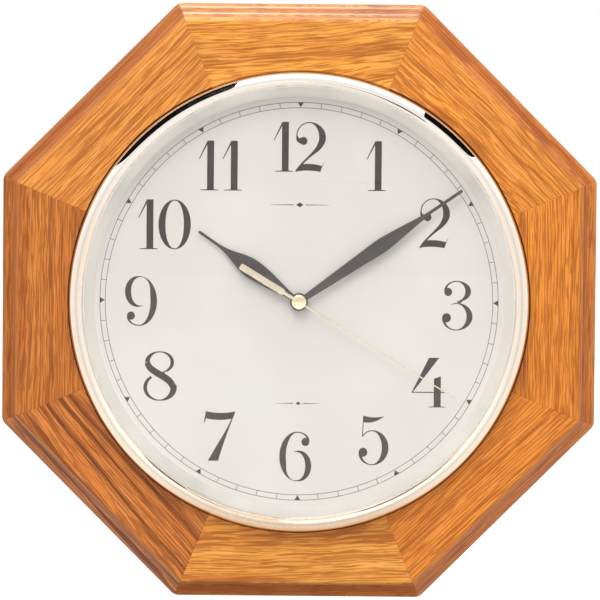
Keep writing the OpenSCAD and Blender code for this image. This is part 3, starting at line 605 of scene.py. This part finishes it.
def sheet(groups, h0, h1):
    """A thin slab over the union of the groups; within a group a ring signed -1 is cut out."""
    pts, rings, tags = [], [], []
    for g, group in enumerate(groups):
        for ring, sign in group:
            area = sum(a[0] * b[1] - b[0] * a[1] for a, b in zip(ring, ring[1:] + ring[:1]))
            ring = ring if area > 0 else ring[::-1]
            rings.append(list(range(len(pts), len(pts) + len(ring))))
            pts += [Vector(p) for p in ring]
            tags.append((g, sign))
    v, _, f, _, _, source = delaunay_2d_cdt(pts, [], rings, 1, 1e-5, True)
    keep = []
    for face, ids in zip(f, source):
        if {tags[i][0] for i in ids if tags[i][1] > 0} - {tags[i][0] for i in ids if tags[i][1] < 0}:
            keep.append(tuple(face))
    n = len(v)
    verts = [at(p.x, h1, p.y) for p in v] + [at(p.x, h0, p.y) for p in v]
    faces = list(keep) + [tuple(n + i for i in reversed(t)) for t in keep]
    border = {}
    for t in keep:
        for a, b in zip(t, t[1:] + t[:1]):
            if (b, a) in border:
                del border[(b, a)]
            else:
                border[(a, b)] = 1
    faces += [(b, a, n + a, n + b) for a, b in border]
    used = sorted({i for t in faces for i in t})
    new = {i: k for k, i in enumerate(used)}
    return [verts[i] for i in used], [tuple(new[i] for i in t) for t in faces]


# the middle of each numeral, right of and above the hands' axis, clockwise from 12
SPOTS = [
    (-0.3, 79.3), (39.0, 69.8), (69.0, 40.8), (81.2, -1.4), (66.8, -41.0), (38.9, -71.0),
    (-1.2, -79.6), (-40.2, -69.4), (-70.9, -38.8), (-81.0, -0.4), (-69.2, 39.0), (-40.8, 69.4),
]
NUMERAL = 25.5  # a numeral's height
SECOND_STARTS = {"0": 0.405, "1": 0.475, "2": 0.445}  # where 10, 11 and 12 have their second figure
groups = []
for hour, (cx, cz) in enumerate(SPOTS):
    laid = []
    for i, c in enumerate(str(hour or 12)):
        rings = FIGURES[int(c)]()
        start = SECOND_STARTS[c] if i else -min(p[0] for ring, _ in rings for p in ring)
        laid.append([([(px + start, py) for px, py in ring], sign) for ring, sign in rings])
    xs = [p[0] for rings in laid for ring, _ in rings for p in ring]
    left, low = cx - (min(xs) + max(xs)) / 2 * NUMERAL, cz - NUMERAL / 2
    for rings in laid:
        groups.append([
            ([(left + px * NUMERAL, low + py * NUMERAL) for px, py in ring], sign) for ring, sign in rings
        ])

# minute track: two hairline circles, a tick each minute and a small pointed mark each hour
TRACK_OUT, TRACK_IN, HAIR = 102.2, 99.2, 0.26
for outside, inside in ((TRACK_OUT, TRACK_OUT - HAIR), (TRACK_IN + HAIR, TRACK_IN)):
    groups.append([(ellipse(0, 0, outside, outside, n=360), 1), (ellipse(0, 0, inside, inside, n=360), -1)])
low, high = TRACK_IN + 0.1, TRACK_OUT - 0.1
tick = [(-HAIR / 2, low), (HAIR / 2, low), (HAIR / 2, high), (-HAIR / 2, high)]
flank = [(-1.7 + 1.6 * t ** 0.85, TRACK_OUT - 0.06 - 2.5 * t) for t in [i / 8 for i in range(9)]]
mark = flank + [(-x, z) for x, z in flank[::-1]]
for minute in range(60):
    s, c = math.sin(math.radians(6 * minute)), math.cos(math.radians(6 * minute))
    groups.append(inked([(x * c + z * s, z * c - x * s) for x, z in (tick if minute % 5 else mark)]))

# plain ornaments where a clock of this kind carries wording: a small lozenge between two tapering rules
for z, reach, tall in ((49.6, 15.0, 1.25), (-52.3, 11.0, 0.9)):
    wide = tall * 1.5
    groups.append(inked([(-wide, z), (0, z - tall), (wide, z), (0, z + tall)]))
    for side in (-1, 1):
        near, far = side * (wide + 1.2), side * reach
        groups.append(inked([(near, z - 0.22), (far, z - 0.06), (far, z + 0.06), (near, z + 0.22)]))

ink = Shader("dial_ink", Specular_IOR_Level=0.3)
tone = ink.noise(ink.coord(), 1.6, 3)
ink.set("Base Color", ink.mix(ink.smooth(tone, 0.3, 0.7), lin((40, 25, 20)), lin((48, 32, 26))))
ink.set("Roughness", ink.smooth(tone, 0.3, 0.7, 0.5, 0.62))
ink.bump(tone, 0.004)
INK_BELOW, INK_ABOVE = 0.05, 0.02  # the print's faces, below and above the dial's own
verts, faces = sheet(groups, DIAL_H - INK_BELOW, DIAL_H + INK_ABOVE)
piece("dial_print", verts, faces, ink.m, "clock_case", angle=20)


# ------------------------------------------------------------------ bezel and ring
def height_over_axis(s):
    """Height over the hands' axis in mm, for painted light and shade that go from top to bottom."""
    return s.xyz(s.coord((1, 0, 1), (-AX / MM, 0, -AZ / MM)))[2]


gold = Shader("bezel_gold", Metallic=1.0)
cloud = gold.noise(gold.coord(), 0.35, 4, 0.6)
swirl = gold.noise(gold.coord((1, 3, 1)), 2.0, 3, 0.6)
level = height_over_axis(gold)
# painted light and shade: the bezel's colour is palest towards the top, and darker and warmer towards the
# bottom
plate_with_painted_light = gold.mix(gold.smooth(level, -116.0, -84.0), lin((235, 208, 180)), lin((249, 238, 220)))
plate_with_painted_light = gold.mix(gold.smooth(level, -60.0, -20.0), plate_with_painted_light, lin((244, 229, 212)))
plate_with_painted_light = gold.mix(gold.smooth(level, 20.0, 100.0), plate_with_painted_light, lin((255, 251, 245)))
gold.set("Base Color", gold.mix(gold.smooth(cloud, 0.3, 0.7, 0.0, 0.15), plate_with_painted_light, (1, 1, 1, 1)))
gold.set("Roughness", gold.smooth(cloud, 0.3, 0.7, 0.03, 0.06))
gold.bump(swirl, 0.0002)

# a half-round of sheet metal on a straight skirt
BEZEL_R, HALF_ROUND, SHEET = 114.0, 3.62, 0.9  # the crest's radius, the section's, and the metal's thickness
BEZEL_FOOT, SKIRT_END = 30.35, 14.0
skirt_out, skirt_in = BEZEL_R + HALF_ROUND, BEZEL_R + HALF_ROUND - SHEET
bezel = [(skirt_out, h) for h in (SKIRT_END, 18.0, 24.0, 29.0)]
bezel += arc(BEZEL_R, BEZEL_FOOT, HALF_ROUND, 0, 180, 40)
bezel += [(BEZEL_R - HALF_ROUND, BEZEL_FOOT - 0.15), (BEZEL_R - HALF_ROUND + 0.3, BEZEL_FOOT - 0.02)]
bezel += arc(BEZEL_R, BEZEL_FOOT, HALF_ROUND - SHEET, 180, 0, 28)
bezel += [(skirt_in, 29.0), (skirt_in, SKIRT_END)]
verts, faces = lathe(bezel, 432)
piece("bezel_ring", verts, faces, gold.m, "clock_case", ("bezel",), 40)

silver = Shader("ring_plastic", Metallic=1.0)
film = silver.noise(silver.coord((1, 0.6, 1)), 0.05, 2)
grain = silver.noise(silver.coord(), 3.0, 2)
level = height_over_axis(silver)
# painted shade: the ring's colour is darker towards the bottom
silver_with_painted_shade = silver.mix(silver.smooth(level, -112.0, -60.0), lin((224, 222, 216)), lin((253, 250, 244)))
silver.set("Base Color", silver.mix(silver.smooth(film, 0.3, 0.7, 0.0, 0.2), silver_with_painted_shade, (1, 1, 0.98, 1)))
silver.set("Roughness", silver.smooth(grain, 0.3, 0.7, 0.3, 0.36))
silver.bump(grain, 0.001)

# a slope from the dial up to a ledge under the glass, hollow behind
RING_IN, LEDGE, RING_OUT = 105.0, 110.1, 113.6
start, low, rise = RING_IN + 0.15, DIAL_H + 0.4, RING_H - DIAL_H - 0.8
ring = [(RING_IN, DIAL_H), (RING_IN + 0.05, DIAL_H + 0.22), (start, low)]
ring += [(start + (LEDGE - start) * i / 10, low + rise * (i / 10) ** 1.04) for i in range(1, 11)]
ring += [(LEDGE + 0.1, RING_H - 0.62), (LEDGE + 0.32, RING_H - 0.58), (LEDGE + 0.4, RING_H - 0.22)]
ring += [(LEDGE + 0.62, RING_H - 0.06), (LEDGE + 0.87, RING_H), (RING_OUT - 0.2, RING_H)]
ring += [(RING_OUT, RING_H - 0.2), (RING_OUT, DIAL_H), (RING_OUT - 0.8, DIAL_H)]
ring += [(RING_OUT - 0.8, RING_H - 0.9), (LEDGE + 1.4, RING_H - 0.9), (RING_IN + 0.9, DIAL_H)]
verts, faces = lathe(ring, 360)
piece("slanted_ring", verts, faces, silver.m, "clock_case", ("inner_ring",), 22)


# ------------------------------------------------------------------ hands
def leaf(s, s0, sp, s1, w0, wp, w1, swell, taper):
    """Half width of a hand: a swell from w0 at s0 to wp at sp, then a taper into a rod of w1 from s1."""
    if s >= s1:
        return w1
    if s <= sp:
        return w0 + (wp - w0) * math.sin(math.radians(90 * max(s - s0, 0) / (sp - s0))) ** swell
    return w1 + (wp - w1) * math.cos(math.radians(90 * (s - sp) / (s1 - sp))) ** taper


def lance(s, w0, rise, peak, top, fall, tip, soft):
    """Half width of a hand with two nearly straight flanks that meet at a softened peak."""
    a, b = w0 + rise * s, top - fall * (s - peak)
    w = (a + b - math.hypot(a - b, soft)) / 2
    return (w + tip + math.hypot(w - tip, 0.1)) / 2


def rounded(s, length, w):
    """Half width near a tip that ends in a half circle."""
    left = length - s
    return w if left >= w else math.sqrt(max(w * w - (w - left) ** 2, 0.0004))


def blade(angle, stations, width, low, edge, crest):
    """A creased strip along a direction: width(s) is its half width, crest(w) the ridge's height."""
    a = math.radians(angle)
    dx, dz = math.sin(a), math.cos(a)
    ease = 0.07  # the arrises are eased in height, and a little more in width
    verts = []
    for s in stations:
        w = width(s)
        flat = max(w - 0.09, w * 0.6)
        right = [(flat, edge), (w, edge - ease), (w, low + ease), (flat, low)]
        for x, h in [(-x, h) for x, h in right[::-1]] + [(0.0, crest(w))] + right:
            verts.append(at(s * dx + x * dz, h, s * dz - x * dx))
    return verts, skin(9, len(stations))


def join(*parts):
    verts, faces = [], []
    for v, f in parts:
        base = len(verts)
        verts += v
        faces += [tuple(i + base for i in t) for t in f]
    return verts, faces


def tip_of(node):
    """Clockwise angle from 12 of a node's farthest point from the hands' axis, and its distance."""
    pts = [(v.co.x - AX, v.co.z - AZ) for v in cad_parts[node].data.vertices]
    far = max(math.hypot(*p) for p in pts)
    tip = [p for p in pts if math.hypot(*p) > far - 0.3 * MM]
    return math.degrees(math.atan2(sum(p[0] for p in tip), sum(p[1] for p in tip))) % 360, far / MM


black = Shader("hand_black", Specular_IOR_Level=0.5, Coat_Weight=0.2, Coat_Roughness=0.3)
speck = black.noise(black.coord(), 3.0, 3)
black.set("Base Color", black.mix(black.smooth(speck, 0.3, 0.7), lin((34, 22, 18)), lin((44, 32, 27))))
black.set("Roughness", black.smooth(speck, 0.3, 0.7, 0.34, 0.46))
black.bump(speck, 0.004)

BORE, HUB, BLADE = 2.35, 4.55, 0.4  # radii of a hand's hole and hub, and a blade's thickness


def hand(name, node, body, shape, tip_w, hub_low, hub_high, low, rise, crease):
    """A black hand: shape(s) is its half width, and its ridge stands crease times that over its
    edges, but at most rise."""
    angle, length = tip_of(node)
    root = BORE + 0.25
    stations = [root + (length - root - tip_w) * i / 130 for i in range(131)]
    stations += [length - tip_w + tip_w * math.sin(math.radians(90 * i / 7)) for i in range(1, 8)]
    edge = low + BLADE - rise

    def width(s):
        return rounded(s, length, shape(s))

    part = blade(angle, stations, width, low, edge, lambda w: edge + min(rise, w * crease))
    hub = [(BORE, hub_low), (HUB - 0.15, hub_low), (HUB, hub_low + 0.15)]
    hub += [(HUB, hub_high - 0.25), (HUB - 0.25, hub_high), (BORE, hub_high)]
    verts, faces = join(part, lathe(hub, 72))
    piece(name, verts, faces, black.m, body, (node,), 3.0)


def hour_shape(s):
    return leaf(s, s0=3, sp=29.5, s1=54, w0=1.5, wp=4.95, w1=0.72, swell=1.5, taper=2.9)


def minute_shape(s):
    return lance(s, w0=1.36, rise=0.0475, peak=51, top=3.98, fall=0.11, tip=0.8, soft=0.3)


hand("hour_blade", "hour_hand", "hour", hour_shape,
     tip_w=0.72, hub_low=22.3, hub_high=23.8, low=23.3, rise=0.22, crease=0.06)
hand("minute_blade", "minute_hand", "minute", minute_shape,
     tip_w=0.8, hub_low=24.3, hub_high=25.6, low=24.9, rise=0.3, crease=0.1)

angle, reach = tip_of("second_hand")
TAIL, TAIL_NECK = 35.3, 10.2  # where the broad counterweight ends and begins, behind the axis
TAIL_W, SHANK_W, NEEDLE_W, TIP_W = 1.65, 0.8, 0.45, 0.3  # half widths


def second_width(s):
    """Half width of the second hand: a broad tail, a narrow shank and a long thin needle."""
    if s < -TAIL_NECK:
        return TAIL_W if s > 0.4 - TAIL else TAIL_W - 0.2
    if s < 2 - TAIL_NECK:
        return SHANK_W + (TAIL_W - SHANK_W) * (0.5 + 0.5 * math.cos(math.pi * (s + TAIL_NECK) / 2))
    if s < 0:
        return SHANK_W
    return (NEEDLE_W - (NEEDLE_W - TIP_W) * s / reach) * (0.7 if s > reach - 0.05 else 1)


stations = [-TAIL, 0.1 - TAIL, 0.4 - TAIL] + [0.8 - TAIL + i for i in range(24)]
stations += [0.4 * i - TAIL_NECK for i in range(6)] + [-6, -4, -2, 0]
stations += [reach * i / 40 for i in range(1, 40)] + [reach - 0.3, reach - 0.1, reach]
base = -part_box("second_hand_cap")[1].y / MM  # the underside of the cap
low = base - 0.35
PIN_R, COLLAR_R = 0.56, 1.7
collar = [(PIN_R, low - 0.3), (COLLAR_R - 0.1, low - 0.3), (COLLAR_R, low - 0.2)]
collar += [(COLLAR_R, low + 0.25), (COLLAR_R - 0.1, base), (PIN_R, base)]
needle = blade(angle, stations, second_width, low, low + 0.29, lambda w: low + 0.34)
verts, faces = join(needle, lathe(collar, 48))
brassy = metal("hand_gold", (217, 202, 177), 0.3, scale=1.2, spread=0.05, wear=0.06)
piece("second_blade", verts, faces, brassy, "second", ("second_hand",), 20)

CAP_R, CAP_CENTRE = 3.75, 0.0001  # the dome closes on a hole too small to see
dome = [(CAP_CENTRE, base), (CAP_R - 0.15, base), (CAP_R, base + 0.12), (CAP_R, base + 0.17)]
for t in [math.radians(t) for t in range(6, 90, 7)]:
    dome.append(((CAP_R - 0.03) * math.cos(t) ** 0.9, base + 0.2 + 0.72 * math.sin(t)))
dome.append((CAP_CENTRE, base + 0.93))
verts, faces = lathe(dome, 96)
plated = metal("cap_gold", (244, 222, 184), 0.2, spread=0.05, wear=0.06)
piece("cap_dome", verts, faces, plated, "second", ("second_hand_cap",), 30)

# ------------------------------------------------------------------ finishes for the CAD nodes that stay
paper = Shader("dial_paint", Specular_IOR_Level=0.25)
tooth = paper.noise(paper.coord(), 4.0, 3)
mottle = paper.noise(paper.coord(offset=(3, 5, 7)), 0.018, 2)
tint = paper.mix(paper.smooth(mottle, 0.35, 0.65), lin((229, 223, 216)), lin((233, 228, 222)))
paper.set("Base Color", tint)
paper.set("Roughness", paper.smooth(tooth, 0.3, 0.7, 0.55, 0.68))
paper.bump(tooth, 0.006)

glass = Shader("clear_glass", Transmission_Weight=1.0, Roughness=0.0, IOR=1.48)
wipe = glass.noise(glass.coord(), 0.02, 2)
glass.set("Base Color", glass.mix(glass.smooth(wipe, 0.3, 0.7), (0.985, 0.99, 0.988, 1), (1, 1, 1, 1)))

wire = Shader("coil_wire", Specular_IOR_Level=0.5, Coat_Weight=0.6, Coat_Roughness=0.12)
bands = {"wave_type": "BANDS", "bands_direction": "X"}
turns = wire.node("TexWave", props=bands, Vector=wire.coord(), Scale=1.6, Distortion=0.15, Detail=1.0)
wire.set("Base Color", wire.mix(turns, lin((120, 52, 22)), lin((196, 98, 48))))
wire.set("Roughness", wire.smooth(turns, 0.0, 1.0, 0.4, 0.22))
wire.bump(turns, 0.05)

# the cell: a plain green sleeve with a silver band at its positive end
cell = Shader("battery_sleeve", Coat_Weight=0.4, Coat_Roughness=0.1)
lo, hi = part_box("battery")
band_x = (lo.x * 0.35 + hi.x * 0.65) / MM
band = cell.smooth(cell.xyz(cell.coord())[0], band_x, band_x + 0.15)
scuff = cell.noise(cell.coord((0.6, 1, 1)), 0.5, 3)
sleeve = cell.mix(cell.smooth(scuff, 0.3, 0.7), lin((32, 92, 64)), lin((38, 104, 72)))
cell.set("Base Color", cell.mix(band, sleeve, lin((200, 200, 196))))
cell.set("Metallic", cell.smooth(band, 0.0, 1.0, 0.15, 0.85))
cell.set("Roughness", cell.smooth(scuff, 0.3, 0.7, 0.22, 0.34))

rubber = plastic("seal_rubber", (38, 38, 38), 0.62, 0.03, 1.2)
pan = plastic("pan_plastic", (44, 43, 42), 0.52, 0.03, 1.6, 0.2)
case = plastic("case_plastic", (36, 37, 39), 0.46, 0.035, 1.9, 0.2)
acetal = plastic("plate_plastic", (222, 216, 202), 0.4, 0.01, 1.4, 0.08)
wheel = plastic("wheel_plastic", (236, 230, 214), 0.3, 0.006, 1.4, 0.07)
knob = plastic("knob_plastic", (96, 96, 98), 0.42, 0.02, 2.4, 0.2)
ferrite = plastic("magnet", (70, 70, 72), 0.42, 0.01, 2.0, 0.2)
cream = plastic("bobbin_plastic", (226, 212, 178), 0.38, 0.01, 1.4, 0.08)
board = plastic("board", (150, 112, 62), 0.5, 0.01, 3.0, 0.25)
resin = plastic("chip_resin", (22, 22, 24), 0.16, 0.02, 0.4, 0.1)
zinc = metal("zinc_steel", (186, 188, 188), 0.34, (1, 1, 0.15), 1.4, 0.08, 0.006, 0.18)
screw = metal("brass_screw", (206, 170, 96), 0.28, (1, 1, 1), 1.6, 0.06, 0.004, 0.15)
brass = metal("turned_brass", (214, 180, 106), 0.24, (1, 4, 1), 1.6, 0.06, 0.003, 0.12)
steel = metal("arbor_steel", (190, 190, 190), 0.2, (1, 6, 1), 1.6, 0.05, 0.002, 0.1)
iron = metal("lamination", (178, 178, 176), 0.36, (0.4, 1, 2), 1.8, 0.08, 0.004, 0.2)
can = metal("crystal_can", (206, 206, 204), 0.22, (0.2, 1, 1), 1.8, 0.05, 0.002, 0.08)
spring = metal("contact_metal", (208, 208, 204), 0.2, (1, 1, 0.3), 1.6, 0.05, 0.003, 0.12)

FINISH = {
    "dial": paper.m, "crystal": glass.m, "crystal_gasket": rubber, "dial_pan": pan,
    "centre_bushing": brass, "minute_pipe": brass, "front_plate": case, "rear_case": case,
    "middle_plate": acetal, "train_bridge": acetal, "setting_knob": knob, "second_arbor": steel,
    "rotor_magnet": ferrite, "stator": iron, "coil_core": iron, "coil_bobbin": cream,
    "coil_winding": wire.m, "circuit_board": board, "quartz_can": can, "chip": resin,
    "battery": cell.m, "positive_contact": spring, "negative_contact": spring, "hanger_plate": zinc,
}
WHEELS = ("hour_wheel", "centre_wheel", "second_wheel", "third_wheel", "fifth_wheel", "rotor_pinion",
          "reduction_wheel", "setting_gear")
FINISH.update((n, wheel) for n in WHEELS)
FINISH.update((n, screw if n.startswith("pan_screw") else zinc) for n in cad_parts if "screw" in n)
for n, material in FINISH.items():
    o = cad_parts[n]
    o.data.materials.clear()
    o.data.materials.append(material)
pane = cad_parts["crystal"]
pane.visible_shadow = pane.visible_diffuse = False


# ------------------------------------------------------------------ floor, light and camera
def stand(name, verts, faces, material):
    """Something in the studio that isn't part of the clock."""
    me = mesh(name, verts, faces)
    me.materials.append(material)
    o = add(name, me)
    return o


FLOOR_REACH, FLOOR_DROP = 4, 0.012  # in metres
pale = Shader("floor_paint", Specular_IOR_Level=0.1, Roughness=0.9, Emission_Strength=0.35)
pale.set("Emission Color", (1, 1, 1, 1))
pale.set("Base Color", pale.mix(pale.noise(pale.coord(), 0.004), (0.9, 0.9, 0.9, 1), (0.94, 0.94, 0.94, 1)))
square = [(-1, -1), (1, -1), (1, 1), (-1, 1)]
corners = [(x * FLOOR_REACH, y * FLOOR_REACH, cad_box[0].z - FLOOR_DROP) for x, y in square]
floor = stand("floor", corners, [(0, 1, 2, 3)], pale.m)
floor.visible_diffuse = floor.visible_glossy = False

# the studio: a white tent, dimmer below for diffuse light, with a faint seam that only mirrors see;
# brightness or colour by a direction's component, -1 to 1
SKY_DIFFUSE = [(-1.0, 0.42), (-0.3, 0.52), (-0.04, 0.75), (0.12, 1.04), (1.0, 1.04)]
SKY_MIRROR = [
    (-1.0, (0.84, 0.76, 0.68)), (-0.75, (1.0, 0.94, 0.87)), (-0.3, (1.06, 1.02, 0.97)),
    (-0.02, 1.06), (0.15, 1.06), (0.45, 1.18), (1.0, 1.18),
]
SEAM = [
    (-1.0, 0.8), (-0.97, 0.84), (-0.9, 0.96), (-0.72, 1.0), (-0.69, 0.92),
    (-0.65, 0.92), (-0.62, 1.0), (-0.2, 1.01), (0.0, 1.07), (1.0, 0.95),
]
world = bpy.data.worlds.new("studio")
bpy.context.scene.world = world
world.use_nodes = True
wt = world.node_tree
toward = wt.nodes.new("ShaderNodeSeparateXYZ")
wt.links.new(wt.nodes.new("ShaderNodeTexCoord").outputs["Generated"], toward.inputs[0])
path = wt.nodes.new("ShaderNodeLightPath")


def world_ramp(socket, stops):
    """The stops' colour at a direction's component."""
    span = wt.nodes.new("ShaderNodeMapRange")
    span.inputs["From Min"].default_value, span.inputs["From Max"].default_value = -1.0, 1.0
    wt.links.new(socket, span.inputs["Value"])
    ramp = wt.nodes.new("ShaderNodeValToRGB")
    wt.links.new(span.outputs[0], ramp.inputs[0])
    els = ramp.color_ramp.elements
    els[0].position, els[1].position = (stops[0][0] + 1) / 2, (stops[-1][0] + 1) / 2
    for where, _ in stops[1:-1]:
        els.new((where + 1) / 2)
    for e, (_, v) in zip(els, stops):
        e.color = (v if isinstance(v, tuple) else (v, v, v)) + (1,)
    return ramp.outputs[0]


def world_mix(blend, factor, a, b):
    n = wt.nodes.new("ShaderNodeMix")
    n.data_type, n.blend_type = "RGBA", blend
    for sock, v in ((n.inputs[0], factor), (n.inputs[6], a), (n.inputs[7], b)):
        if isinstance(v, bpy.types.NodeSocket):
            wt.links.new(v, sock)
        else:
            sock.default_value = v
    return n.outputs[2]


soft_light = world_ramp(toward.outputs[2], SKY_DIFFUSE)
mirror, seam = world_ramp(toward.outputs[2], SKY_MIRROR), world_ramp(toward.outputs[1], SEAM)
mirror = world_mix("MULTIPLY", 1.0, mirror, seam)
sky = world_mix("MIX", path.outputs["Is Glossy Ray"], soft_light, mirror)
sky = world_mix("MIX", path.outputs["Is Camera Ray"], sky, (1, 1, 1, 1))
wt.links.new(sky, wt.nodes["Background"].inputs["Color"])

# black cards in front of the clock, which draw the streaks in the polish
card = Shader("black_card", Specular_IOR_Level=0.0, Roughness=1.0)
cloth = card.noise(card.coord(), 0.01, 1)
card.set("Base Color", card.mix(cloth, (0.004, 0.004, 0.004, 1), (0.012, 0.011, 0.01, 1)))


def flag(name, verts, faces):
    """A black card that only mirrors see."""
    o = stand(name, verts, faces, card.m)
    o.visible_camera = o.visible_diffuse = o.visible_shadow = o.visible_transmission = False


# bent cards just outside the bezel: name, start and end angle from 12, top edge's height
FLAGS = [("card_upper_left", 306, 344, 78), ("card_upper_right", 50, 33, 110)]
CARD_R, CARD_LOW, CARD_STEPS = 120, 32.2, 24
for name, start, end, high in FLAGS:
    verts = []
    for t in [i / CARD_STEPS for i in range(CARD_STEPS + 1)]:
        a = math.radians(start + (end - start) * t)
        x, z = CARD_R * math.sin(a), CARD_R * math.cos(a)
        tall = min(1.0, 3.5 * t, 9 * (1 - t)) ** 1.2
        verts += [at(x, CARD_LOW, z), at(x, CARD_LOW + (high - CARD_LOW) * tall, z)]
    flag(name, verts, [(2 * i, 2 * i + 1, 2 * i + 3, 2 * i + 2) for i in range(CARD_STEPS)])
# a level card in front of the dial, above its centre, as (x, h)
OVER_Z = 60
OVER = [(2, 106), (2, 112), (22, 100), (34, 102), (43, 84), (43, 64), (30, 66), (20, 86)]
flag("card_over_centre", [at(x, h, OVER_Z) for x, h in OVER], [tuple(range(len(OVER)))])


def softbox(name, where, size, power):
    """A rectangular light that faces the clock; its place and size are in metres."""
    d = bpy.data.lights.new(name, "AREA")
    d.shape, d.size, d.size_y, d.energy = "RECTANGLE", size[0], size[1], power
    o = add(name, d)
    o.location = where
    o.rotation_mode = "QUATERNION"
    o.rotation_quaternion = (CENTRE - Vector(where)).to_track_quat("-Z", "Y")
    return o


KEY_W, OVERHEAD_W = 14, 7
softbox("key", (-0.35, -1.4, 1.4), (0.9, 0.9), KEY_W)
softbox("overhead", (0.3, -0.5, 1.5), (1.4, 0.8), OVERHEAD_W).visible_glossy = False

AIM = (0.5, 15, 0.5)  # x, h and z in mm
DISTANCE, RISE, ROLL, LENS = 3.0, math.radians(2.8), math.radians(0.5), 350.4
cam_data = bpy.data.cameras.new("camera")
cam = add("camera", cam_data)
bpy.context.scene.camera = cam
back = Vector((0, -math.cos(RISE), math.sin(RISE)))
cam.location = at(*AIM) + back * DISTANCE
cam.rotation_mode = "QUATERNION"
cam.rotation_quaternion = (-back).to_track_quat("-Z", "Y") @ Matrix.Rotation(ROLL, 4, "Z").to_quaternion()
cam_data.sensor_width, cam_data.lens = 36, LENS
cam_data.clip_start, cam_data.clip_end = 0.05, 30
bpy.context.scene.view_settings.view_transform = "Standard"
